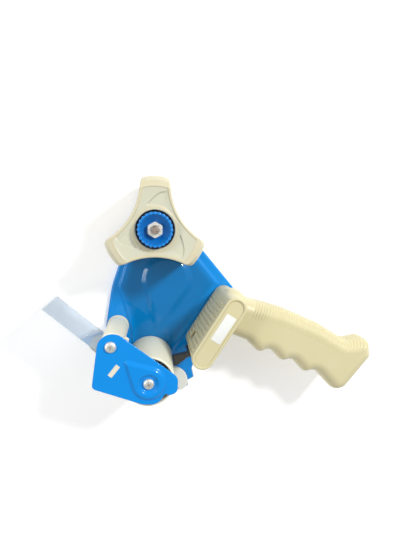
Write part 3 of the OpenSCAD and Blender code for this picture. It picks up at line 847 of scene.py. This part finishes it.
def make_tape_stay():
    curve = arc(APPLICATOR, 19.3, 19, -3, 8)
    tail = rounded([(18.3, -110.2, 0.2), (22.1, -107.1, 1.5), (27.2, -102.9, 0.9), (25.9, -100.6, 0.9),
                    (14.1, -103.3, 0.2)])
    loop = divided(np.concatenate((curve, tail[3:-3])), 0.8)
    shape = Shape().slab_loop(loop, 19, 26, 0.5)
    shape.lathe([(1.25, 18.6, 0), (2.1, 18.6, 0.3), (2.1, 26.3, 0.3), (1.25, 26.3, 0)], STAY, 40)
    build("tape_stay_wedge", shape, "stay", DARK, ["tape_stay"])


# ---------------------------------------------------------------- rollers


def make_rollers():
    z0, z1 = 6.3, 60.6
    web_in, web_out, web_half = 7.5, 17.2, 0.9
    shape = Shape()
    shape.lathe([(16.8, z0, 0.3), (18.2, z0, 0.3), (18.8, z0 + 0.6, 0.3), (18.8, z1 - 0.7, 0.4),
                 (18.1, z1, 0.4), (17.5, z1, 0.2), (16.8, z1 - 1.6, 0.2)], APPLICATOR, 128)
    shape.lathe([(6, z0, 0.2), (8, z0, 0.2), (8, z1 - 3, 0.5), (6, z1 - 3, 0.3)], APPLICATOR, 64)
    for lo, hi in ((z0, z0 + 2), (32, 34.5)):
        shape.lathe(tube(web_out, web_in, lo, hi, 0.2), APPLICATOR, 96)
    for k in range(4):
        a = math.pi / 2 * k
        c, s = np.array((math.cos(a), math.sin(a))), np.array((-math.sin(a), math.cos(a)))
        web = ((web_in, -web_half), (web_out, -web_half), (web_out, web_half), (web_in, web_half))
        shape.slab([(*(APPLICATOR + c * u + s * v), 0.2) for u, v in web], z0 + 1, 40, 0.2)
    build("applicator_roller_sleeve", shape, "applicator", ROLLER, ["applicator_roller"])
    bushes = Shape()
    for z in (6.7, 49.2):
        bushes.lathe(tube(5.95, 4.05, z, z + 8), APPLICATOR, 48)
    build("applicator_bush_pair", bushes, "applicator", NYLON, ["applicator_bushes"])
    make_round("guide_roller_sleeve", ["guide_roller"], "guide",
               [(3.55, 6.9, 0.3), (8.35, 6.9, 1.0), (8.35, 58.3, 1.0), (3.55, 58.3, 0.3)], ROLLER,
               96, centre=GUIDE)
    axles = (("guide_axle", 3.5, BAND_Z, GUIDE), ("applicator_axle", 4, FIELD_Z, APPLICATOR))
    for name, r, foot, centre in axles:
        rod = [(0.01, foot, 0), (r, foot, 0.3), (r, NOSE_IN, 0.3), (0.01, NOSE_IN, 0)]
        make_round(name + "_rod", [name], "frame", rod, ZINC, 48, centre=centre)


# ---------------------------------------------------------------- tape hub and brake


def hub_loop(d, reach=HUB_R):
    """Three-armed section of the hub, cut to a reach and moved inwards by d, with rounded corners."""
    r, flank = reach - d, FLANK_R + d
    half = math.degrees(math.acos((r**2 + FLANK_D**2 - flank**2) / (2 * r * FLANK_D)))
    corner = r * np.array((math.cos(math.radians(half)), math.sin(math.radians(half))))
    sweep = math.degrees(math.atan2(corner[1], FLANK_D - corner[0]))
    parts = []
    for a in (30, 150, 270):
        centre = FLANK_D * np.array((math.cos(math.radians(a)), math.sin(math.radians(a))))
        parts.append(arc(centre, flank, a + 180 + sweep, a + 180 - sweep, 96)[:-1])
        parts.append(arc((0, 0), r, a + half, a + 120 - half, 32)[:-1])
    loop = np.concatenate(parts)
    for _ in range(20):
        loop = 0.5 * loop + 0.25 * (np.roll(loop, 1, 0) + np.roll(loop, -1, 0))
    return loop


def hub_reach(z):
    """Radius of the hub's tips, which taper towards the near end."""
    return HUB_R - 3.6 * max(0.0, (z - 44) / 15) ** 2


# The swirl on one arm, as (radius, degrees): the step round the well, and the crease across the arm.
SPIRAL = [(17.8, 111), (16.9, 92), (16.4, 70), (15.9, 45), (16.0, 30), (17.5, 16), (21.3, 2.7), (27.1, -6.7),
          (32.2, -12.4)]
CREASE = [(17.6, 111), (20.0, 100), (23.6, 88.5), (26.0, 80.3), (28.3, 69.4)]
SPIRAL_WIDE, CREASE_WIDE = 1.1, 0.8
TIP_R = 29.7
RIM_WIDE = 0.8


def polar_line(curve, first, last):
    """The smooth line through (radius, degrees) points, between two angles."""
    line = smooth_line([(r * math.cos(math.radians(a)), r * math.sin(math.radians(a))) for r, a in curve])
    angle = np.degrees(np.arctan2(line[:, 1], line[:, 0]))
    return line[(angle <= first) & (angle >= last)]


def past_curve(curve, r, angle):
    """Distance of each polar point outwards from a curve."""
    line = polar_line(curve, 180, -90)[::-1]
    at, radius = np.arctan2(line[:, 1], line[:, 0]), np.linalg.norm(line, axis=1)
    lean = np.gradient(radius, at) / radius
    angle = np.radians(angle)
    return (r - np.interp(angle, at, radius)) / np.hypot(1, np.interp(angle, at, lean))


def ribbon(line, wide):
    """Closed loop round a line."""
    along = np.gradient(line, axis=0)
    side = np.stack((-along[:, 1], along[:, 0]), 1) / np.linalg.norm(along, axis=1)[:, None]
    return np.concatenate((line + side * wide / 2, (line - side * wide / 2)[::-1]))


def hub_face(p, outline):
    """Height of the near face: a dish with three swirls, a ring at the well, rims and bevelled tips."""
    r = np.linalg.norm(p, axis=1)
    base = HUB_TOP - 2.0 + 0.0065 * np.clip(r - 15, 0, None) ** 2
    z = base.copy()
    inner = 0.25 + 0.75 * ease((inside_distance(p, outline) - RIM_WIDE) / 4.0)
    for k in range(3):
        angle = np.mod(np.degrees(np.arctan2(p[:, 1], p[:, 0])) + 120 * k + 110, 360) - 110
        outside = past_curve(SPIRAL, r, angle)
        beyond = np.where(angle > CREASE[-1][1], past_curve(CREASE, r, angle), -99)
        low = ease(outside / SPIRAL_WIDE + 0.5) * (1 - ease(beyond / CREASE_WIDE + 0.5))
        low *= ease((SPIRAL[0][1] - angle) / 7) * (angle > SPIRAL[-1][1]) * inner
        z -= low * (0.6 + 0.4 * np.exp(np.clip(beyond, -99, 0) / 4))
    z += (base + 0.35 - z) * (1 - ease((r - RING_R) / RING_EDGE))
    rim = 1 - ease((inside_distance(p, outline) - RIM_WIDE) / 0.4)
    z += (base + 0.4 - z) * rim
    tip = ease((r - TIP_R + 0.2) / 0.4)
    return z + (HUB_TOP - 0.1 - 0.3 * (r - TIP_R) + 0.12 * rim - z) * tip


def make_hub():
    edge = 1.0
    reach = hub_reach(HUB_TOP)
    outline = hub_loop(edge, reach)
    loops = [hub_loop(edge + d, reach) for d in (0.4, RIM_WIDE, RIM_WIDE + 0.4)]
    ribbons = [ribbon(polar_line(SPIRAL, 103, 6), SPIRAL_WIDE),
               ribbon(polar_line(CREASE, 104, 73), CREASE_WIDE)]
    for k in range(3):
        loops += [turned(loop, -120 * k) for loop in ribbons]
        a = 90 - 120 * k
        loops.append(np.concatenate((arc((0, 0), TIP_R + 0.2, a - 16.5, a + 16.5, 24),
                                     arc((0, 0), TIP_R - 0.2, a + 16.5, a - 16.5, 24))))
    well = arc((0, 0), WELL_MOUTH, 0, 357, 119)
    loops += [well * radius / WELL_MOUTH for radius in (RING_R, RING_R + RING_EDGE)]
    verts, faces = plan_mesh(outline, loops, [well], 0.5)
    r = np.linalg.norm(verts, axis=1)
    # painted shading over the arms' dishes, clear of the rims, the tips and the well
    dish_shading = ease((inside_distance(verts, outline) - RIM_WIDE) / 1.5) * (1 - ease((r - TIP_R + 0.5) / 0.5))
    dish_shading *= ease((r - 16) / 2)
    shape = Shape().add(np.column_stack((verts, hub_face(verts, outline))), faces, deep=dish_shading)
    heights = [HUB_Z, HUB_Z + 0.6, 20, 32, 44, 47, 50, 52.5, 54.5]
    rows = [flat(hub_loop(0, hub_reach(h)), h) for h in heights]
    rows[0] = flat(hub_loop(0.6), HUB_Z)
    top = hub_face(outline, outline)
    for a in np.radians((0, 22, 45, 67, 90)):
        d, h = edge * (1 - math.cos(a)), top - edge * (1 - math.sin(a))
        rows.append(flat(hub_loop(d, reach), h))
    shape.loft(rows, caps=False)
    top = hub_face(well, outline)
    rows = [flat(well, top)]
    for radius, h in ((WELL_R + 0.2, top - 0.2), (WELL_R, top - 0.7), (WELL_R, 45),
                      (WELL_R, WELL_FLOOR + 0.5), (WELL_R - 0.5, WELL_FLOOR), (5.1, WELL_FLOOR),
                      (5.1, WELL_FLOOR - 3)):
        rows.append(flat(well * radius / WELL_MOUTH, h))
    shape.loft(rows, caps=False)
    build("tape_hub", shape, "hub", HUB_CREAM, ["hub_reel"], 40, HUB_WALL)
    make_round("hub_core_tube", [], "hub", tube(9, 5.05, HUB_Z, WELL_FLOOR - 1.9, 0.4), HUB_CREAM)
    make_round("hub_nylon_bush", ["hub_bush"], "hub", tube(5, 3.05, HUB_Z + 0.5, WELL_FLOOR - 0.1), NYLON,
               48)
    make_round("brake_wear_washer", ["brake_washer"], "hub", tube(9, 3.3, 38, 39.2), ZINC)


def knob_waves(a, r, z):
    """Beads round the knob's rim, above its plain skirt."""
    if z < KNOB_Z0 + 1.4:
        return np.full(len(a), r)
    gap = (0.5 - 0.5 * np.cos(KNOB_BEADS * a)) ** 1.3
    if z > KNOB_Z1 - 1.0 and r < 11.6:
        return r + 0.6 * gap * ease((r - 9.9) / 0.4)
    return r - 0.8 * gap * ease((r - 10.5) / 1.6)


def make_brake():
    bowl = []
    for k in range(6):
        r, z = 10.3 - 0.7 * k, KNOB_Z1 - 1.2 - 0.72 * k
        bowl += [(r, z, 0), (r - 0.42, z - 0.3, 0)]
    profile = [(3.25, KNOB_Z0, 0.2), (KNOB_R - 0.4, KNOB_Z0, 0.3), (KNOB_R, KNOB_Z0 + 0.6, 0),
               (KNOB_R, KNOB_Z0 + 1.3, 0), (KNOB_R, KNOB_Z0 + 1.5, 0), (KNOB_R, KNOB_Z1, 0.9),
               (10.35, KNOB_Z1, 0.5), *bowl, (6.2, KNOB_Z1 - 5.7, 0.2), (3.25, KNOB_Z1 - 5.7, 0.2)]

    # painted shade deep in the bowl, banded in rings
    def deep(r, z):
        return ease((10.8 - r) / 0.8) * (z > KNOB_Z0 + 2) * (0.78 + 0.22 * np.cos(8.7 * r))

    make_round("tension_knob_rim", ["tension_knob"], "knob", profile, KNOB_BLUE, 288,
               knob_waves, deep)
    make_round("knob_hex_nut", ["knob_nut"], "knob", hex_profile(3.05, 9.98, 57.2, 62.4), SHINY,
               96, hex_waves(9.98))
    make_round("spring_cup_washer", ["spring_cap"], "brake", tube(9.5, 3.1, 52.1, 53.3), ZINC)
    make_round("hub_felt_disc", ["friction_disc"], "frame", tube(17, 7.5, FIELD_Z, 9.3, 0.5), FELT)
    make_round("spindle_lock_nut", ["spindle_nut"], "frame", hex_profile(3.02, 10, FIELD_Z, 8.9), ZINC,
               96, hex_waves(10))
    bolt = Shape().lathe(hex_profile(0.01, 10, 0.3, 4.15), (0, 0), 96, hex_waves(10))
    thread(bolt, (0, 0), BOLT_R, 1.0, 4.0, 64.9, 0.14, 40)
    end = [(0.01, 64.7, 0), (2.75, 64.7, 0), (2.75, 65, 0.1), (2.3, 65.5, 0.1), (0.01, 65.5, 0)]
    bolt.lathe(end, (0, 0), 40)
    build("spindle_stud", bolt, "frame", STUD, ["spindle_bolt"], 30)
    make_spring()


def make_spring():
    """Coil spring with closed, flattened ends, from the washer up to the cup."""
    mean, wire, z0, z1, turns, sides, per_turn = 7.0, 0.8, 39.3, 52.0, 6, 12, 40
    rows = []
    for i in range(turns * per_turn + 1):
        t = i / (turns * per_turn)
        rise = np.interp(t, (0, 1 / turns, 1 - 1 / turns, 1), (0, 0.13, 0.87, 1))
        a = 2 * math.pi * turns * t
        b = np.arange(sides) * 2 * math.pi / sides
        r = mean + wire * np.cos(b)
        z = z0 + wire + (z1 - z0 - 2 * wire) * rise + wire * np.sin(b)
        rows.append(np.stack((r * math.cos(a), r * math.sin(a), z), 1))
    foot = (SPINDLE.x, SPINDLE.y, z0 * MM)
    head = (SPINDLE.x, SPINDLE.y, z1 * MM)
    build("brake_coil_spring", Shape().loft(rows), None, ZINC, ["brake_spring"], 60,
          bend=("frame", "brake", foot, head))


# ---------------------------------------------------------------- handle

BASE_LEN = float(np.linalg.norm(BASE_HI - BASE_LO))
BASE_DIR = (BASE_LO - BASE_HI) / BASE_LEN
BASE_FRONT = np.array((BASE_DIR[1], -BASE_DIR[0]))
GRIP_EDGE = np.array(((70.0, -54.0), (100.0, -62.5), (133.0, -76.5), (150.0, -86.0), (171.5, -86.0)))
GRIP_SOFT, JOIN = 9.0, 5.0
RIB_PITCH, RIB_DEPTH, RIB_REACH, RIB_SPAN = 2.3, 0.6, 11.6, (92, 196)
FIELD_STEP, QUICK_STEP = 0.56, 1.1
HANDLE_ROOM = np.array(((23.0, -134.0, 3.2), (177.0, -38.0, 65.4)))
LOUVRES, LOUVRE_START, LOUVRE_PITCH, LOUVRE_Z = 12, 3.0, 3.9, (6.5, 59)

# The hook slot in the base's front wall: its middle along the base and up it, half length and half tallness.
SLOT = (38.5, 28.0, 2.9, 3.5)


def blend_min(a, b, k):
    """The smaller distance, with a fillet of about k where they meet."""
    h = np.clip(0.5 + 0.5 * (b - a) / k, 0, 1)
    return b + (a - b) * h - k * h * (1 - h)


def soft_box(side, z, z0, z1, r):
    """Distance of a plan shape, side from its outline, drawn up from z0 to z1 with edges of radius r."""
    up = np.abs(z - (z0 + z1) / 2) - (z1 - z0) / 2 + r
    out = side + r
    return np.minimum(np.maximum(out, up), 0) + np.hypot(np.maximum(out, 0), np.maximum(up, 0)) - r


class HandlePlan:
    """What the handle's distance field needs to know about points of the plan."""

    def __init__(self, points):
        grip = rounded(GRIP)
        self.base = segment_distance(points, BASE_HI, BASE_LO) - BASE_R
        self.grip = -inside_distance(points, grip)
        self.along = (points - BASE_HI) @ BASE_DIR
        self.front = (points - BASE_HI) @ BASE_FRONT
        self.grip_along = points @ unit((0.917, -0.399))
        self.back = line_distance(points, GRIP_EDGE)
        self.screws = np.min([np.linalg.norm(points - p, axis=1) for p in GRIP_SCREWS], 0)


def handle_field(plan, z, half):
    """Distance outside the handle, for the near moulding (half 1) or the back of the grip (half -1)."""
    grip = soft_box(plan.grip, z, GRIP_Z0, GRIP_Z1, GRIP_SOFT)
    ribs = 0.5 + 0.5 * np.cos(2 * math.pi * plan.grip_along / RIB_PITCH)
    where = ease((plan.grip_along - RIB_SPAN[0]) / 2) * ease((RIB_SPAN[1] - plan.grip_along) / 3)
    grip = grip + (0.25 - RIB_DEPTH * ribs) * where * ease((RIB_REACH - plan.back) / 1.2)
    grip = -blend_min(-grip, 6.5 - plan.front - 4.0 * ease((plan.along + 2) / 5), JOIN)
    both = blend_min(soft_box(plan.base, z, BAND_Z, BASE_TOP - 1, 0.8), grip, JOIN)
    along, height, half_long, half_tall = SLOT
    beside = np.abs(plan.along - along) - half_long
    mouth = np.maximum(np.maximum(beside, np.abs(z - height) - half_tall), 4 - plan.front)
    hollow = np.maximum(beside, np.abs(z - height + 8) - half_tall - 7)
    hollow = np.maximum(hollow, np.abs(plan.front - 3.5) - 3.2)
    near = -blend_min(-both, np.minimum(mouth, hollow), 0.5)
    if half > 0:
        return np.maximum(near, np.minimum(GRIP_SPLIT + 0.06 - z, plan.base - 0.1))
    bores = np.maximum(plan.screws - 4.0, z - GRIP_Z0 - 5)
    back = np.maximum(np.maximum(both, z - GRIP_SPLIT + 0.06), 0.1 - plan.base)
    return np.maximum(back, -bores)


def surface_net(values, low, step):
    """Quads on the zero level of a grid of distances."""
    inside = values < 0
    shape = tuple(n - 1 for n in values.shape)
    count = np.zeros(shape, np.int8)
    corners = [(i, j, k) for i in (0, 1) for j in (0, 1) for k in (0, 1)]
    for i, j, k in corners:
        count += inside[i:i + shape[0], j:j + shape[1], k:k + shape[2]]
    cells = np.argwhere((count > 0) & (count < 8))
    index = np.full(shape, -1)
    index[tuple(cells.T)] = np.arange(len(cells))
    total, hits = np.zeros((len(cells), 3)), np.zeros(len(cells))
    for a in corners:
        for axis in range(3):
            if a[axis]:
                continue
            b = tuple(1 if k == axis else a[k] for k in range(3))
            va, vb = values[tuple((cells + a).T)], values[tuple((cells + b).T)]
            crosses = (va < 0) != (vb < 0)
            t = np.where(crosses, va / np.where(crosses, va - vb, 1), 0)
            total += crosses[:, None] * (np.array(a) + t[:, None] * (np.array(b) - np.array(a)))
            hits += crosses
    verts = low + (cells + total / hits[:, None]) * step
    faces = []
    for axis in range(3):
        u, v = (axis + 1) % 3, (axis + 2) % 3
        a = np.moveaxis(inside, axis, 0)
        edges = np.argwhere(a[:-1] != a[1:])
        full = np.zeros((len(edges), 3), int)
        order = [axis, *[k for k in range(3) if k != axis]]
        for column, k in enumerate(order):
            full[:, k] = edges[:, column]
        full = full[(full[:, u] > 0) & (full[:, v] > 0)]
        steps = []
        for du, dv in ((0, 0), (1, 0), (1, 1), (0, 1)):
            cell = full.copy()
            cell[:, u] -= du
            cell[:, v] -= dv
            steps.append(index[tuple(cell.T)])
        quads = np.stack(steps, 1)
        flip = ~inside[tuple(full.T)]
        quads[flip] = quads[flip][:, ::-1]
        faces.append(quads)
    return verts, np.concatenate(faces)


def make_handle():
    step = FIELD_STEP
    low, high = HANDLE_ROOM
    axes = [np.arange(a, b, step) for a, b in zip(low, high)]
    x, y = np.meshgrid(axes[0], axes[1], indexing="ij")
    plan = HandlePlan(np.stack((x.ravel(), y.ravel()), 1))
    for name in vars(plan):
        setattr(plan, name, getattr(plan, name).reshape(*x.shape, 1))
    for half, name, node in ((1, "handle_moulding", "handle_shell"), (-1, "grip_back_moulding", "grip_back")):
        verts, faces = surface_net(handle_field(plan, axes[2], half), low, step)
        for _ in range(2):
            here = handle_at(verts, half)
            slope = np.stack([handle_at(verts + shift, half) - handle_at(verts - shift, half)
                              for shift in np.eye(3) * 0.1], 1) / 0.2
            size = np.clip((slope**2).sum(1), 0.5, None)
            verts = verts - np.clip(here / size, -0.3 * step, 0.3 * step)[:, None] * slope
        shape = Shape().add(verts, faces)
        if half > 0:
            add_louvres(shape)
            add_rim(shape)
        build(name, shape, "frame", CREAM, [node], 60)


def on_base(along, front):
    """Plan place of a point of the handle base."""
    return BASE_HI + along * BASE_DIR + front * BASE_FRONT


def add_louvres(shape):
    """Slanting slats on the base's front wall, cut short round the hook slot, and the slot's ledge."""
    middle, height, half_long, half_tall = SLOT
    for k in range(LOUVRES):
        start = LOUVRE_START + LOUVRE_PITCH * k
        spans = [LOUVRE_Z]
        if abs(start + LOUVRE_PITCH / 2 - middle) < half_long:
            spans = [(LOUVRE_Z[0], height - half_tall - 1.5), (height + half_tall + 0.5, LOUVRE_Z[1])]
        for z0, z1 in spans:
            rows = []
            for z in np.linspace(z0, z1, 24):
                rise = float(ease(min(z - z0, z1 - z) / 2.5))
                lean = 0.5 * math.sin((z - 7) * math.pi / 26) - 0.8 * float(ease((z - 44) / 14))
                section = ((0, -1.2), (0.05, 0.75 * rise), (0.3, rise), (0.65, 0.95 * rise),
                           (2.4, 0.3 * rise), (3.9, -0.05), (3.9, -1.2))
                loop = []
                for u, h in section:
                    along = start + lean + u
                    past = max(0.0, along - BASE_LEN)
                    wall = math.sqrt(max(BASE_R**2 - past**2, 1.0))
                    loop.append((*on_base(along, wall + h), z))
                rows.append(np.array(loop))
            shape.loft(rows)
    half, root, lip = half_long + 0.5, 5, 8.8
    ledge = ((middle - half, lip), (middle + half, lip), (middle + half, root), (middle - half, root))
    shape.slab([(*on_base(*corner), 0.3) for corner in ledge], height - half_tall - 1.5, height - half_tall,
               0.25)


def capsule(d):
    """Outline of the base's end face, moved inwards by d."""
    out = math.degrees(math.atan2(*(-BASE_DIR[::-1])))
    ends = [arc(end, BASE_R - d, a - 90, a + 90, 30) for end, a in ((BASE_HI, out), (BASE_LO, out + 180))]
    return np.concatenate(ends)


def add_rim(shape):
    """Raised bead round the base's end face."""
    rows = []
    for d, z in ((0.1, 61.8), (-0.2, 62.2), (-0.2, 63.2), (0.05, 63.7), (0.5, 64), (1.3, 64), (1.75, 63.8),
                 (1.95, 63.4), (2.0, 62.6), (1.2, 61.8)):
        rows.append(flat(capsule(d), z))
    shape.loft(rows, closed=True)


def handle_at(points, half):
    return handle_field(HandlePlan(points[:, :2]), points[:, 2], half)


def make_label():
    half_long, half_wide = 11.1, 4.1
    across = np.array((-BASE_DIR[1], BASE_DIR[0]))
    corners = [np.array((49, -70.6)) + BASE_DIR * u * half_long + across * v * half_wide
               for u, v in ((-1, -1), (1, -1), (1, 1), (-1, 1))]
    shape = Shape().slab([(*c, 0.4) for c in corners], 63, 63.18, 0.05)
    build("blank_paper_label", shape, "frame", LABEL_PAPER, ["blank_label"])


# ---------------------------------------------------------------- wiper sheet


def make_wiper():
    """One clear sheet from its clamp in the crossbar to its free tip."""
    thick, z0, z1 = 0.7, 7.0, 58.0
    root = from_bar([(-0.9, 2.0), (-0.9, 5.2)])
    a = math.radians(139.5)
    way = np.array((math.cos(a), math.sin(a)))
    bend = from_bar([(-0.9, 5.3)])[0]
    line = np.concatenate((root, [bend + way * t for t in np.linspace(0.8, 62.3, 78)]))
    normal = np.gradient(line, axis=0)
    normal = np.stack((-normal[:, 1], normal[:, 0]), 1) / np.linalg.norm(normal, axis=1)[:, None]
    margin = (0, 0.25, 0.8, 1.6)
    heights = [*(z0 + m for m in margin), *np.linspace(z0 + 3, z1 - 3, 24), *(z1 - m for m in margin[::-1])]
    far = np.linalg.norm(line - line[-1], axis=1)
    rows, tags = [], []
    for h in heights:
        rim = min(h - z0, z1 - h)
        half = thick / 2 * (0.6 if rim < 0.1 else 1)
        sides = (line - normal * half, (line + normal * half)[::-1])
        rows.append(flat(np.concatenate(sides), h))
        near = np.minimum(far, rim)
        # edge tag: the rim where the white highlight is painted
        tags.append(1 - ease((np.concatenate((near, near[::-1])) - 1.5) / 0.7))
    shape = Shape().loft(rows)
    shape.tags["edge"] = [np.concatenate(tags)]
    start = (*(bend * MM), 0.0325)
    end = (*((bend + way * 3) * MM), 0.0325)
    move = Vector((SPINDLE.x, SPINDLE.y, 0))
    build("clear_wiper_sheet", shape, None, CLEAR, ["flap_root", "wiper_flap"], 30,
          bend=("frame", "wiper", Vector(start) + move, Vector(end) + move))


# ---------------------------------------------------------------- stage


def make_floor():
    mesh = bpy.data.meshes.new("floor")
    mesh.from_pydata([(-3, -3, 0), (3, -3, 0), (3, 3, 0), (-3, 3, 0)], [], [(0, 1, 2, 3)])
    floor = bpy.data.objects.new("floor", mesh)
    bpy.context.scene.collection.objects.link(floor)
    finish = Finish("floor", (0.9, 0.9, 0.9), 0.7, Emission_Color=(1, 1, 1, 1), Emission_Strength=0.28)
    mesh.materials.append(finish.material)


def make_light(name, place, target, size, power):
    """A rectangular lamp of size (across, up)."""
    data = bpy.data.lights.new(name, "AREA")
    data.shape = "RECTANGLE"
    data.size, data.size_y = size
    data.energy = power
    light = bpy.data.objects.new(name, data)
    light.location = place
    light.rotation_mode = "QUATERNION"
    light.rotation_quaternion = (Vector(target) - Vector(place)).to_track_quat("-Z", "Y")
    bpy.context.scene.collection.objects.link(light)


def make_camera():
    data = bpy.data.cameras.new("camera")
    data.lens = 27.05
    data.sensor_width = 36
    camera = bpy.data.objects.new("camera", data)
    right = Vector((0.99246, 0.01784, 0.12127))
    up = Vector((0, 0.98936, -0.14552))
    back = Vector((-0.12258, 0.14442, 0.98189))
    turn = Matrix((right, up, back)).transposed().to_4x4()
    camera.matrix_world = Matrix.Translation((-0.04605, 0.06115, 0.3516)) @ turn
    bpy.context.scene.collection.objects.link(camera)
    bpy.context.scene.camera = camera


def make_world():
    world = bpy.data.worlds.new("studio")
    world.use_nodes = True
    background = world.node_tree.nodes["Background"]
    background.inputs["Color"].default_value = (1, 1, 1, 1)
    background.inputs["Strength"].default_value = 0.5
    bpy.context.scene.world = world
    bpy.context.scene.view_settings.view_transform = "Standard"


make_frame_plate()
make_nose_plate()
make_fasteners()
make_bridge()
make_blade()
make_edge_guide()
make_tape_stay()
make_rollers()
make_hub()
make_brake()
make_handle()
make_label()
make_wiper()
make_floor()
make_light("key", (0.435, 0.39, 0.59), (0, 0, 0.03), (0.12, 0.12), 5.2)
make_light("fill", (-0.6, 0.15, 0.5), (0, 0, 0.03), (0.7, 0.12), 2.0)
make_camera()
make_world()
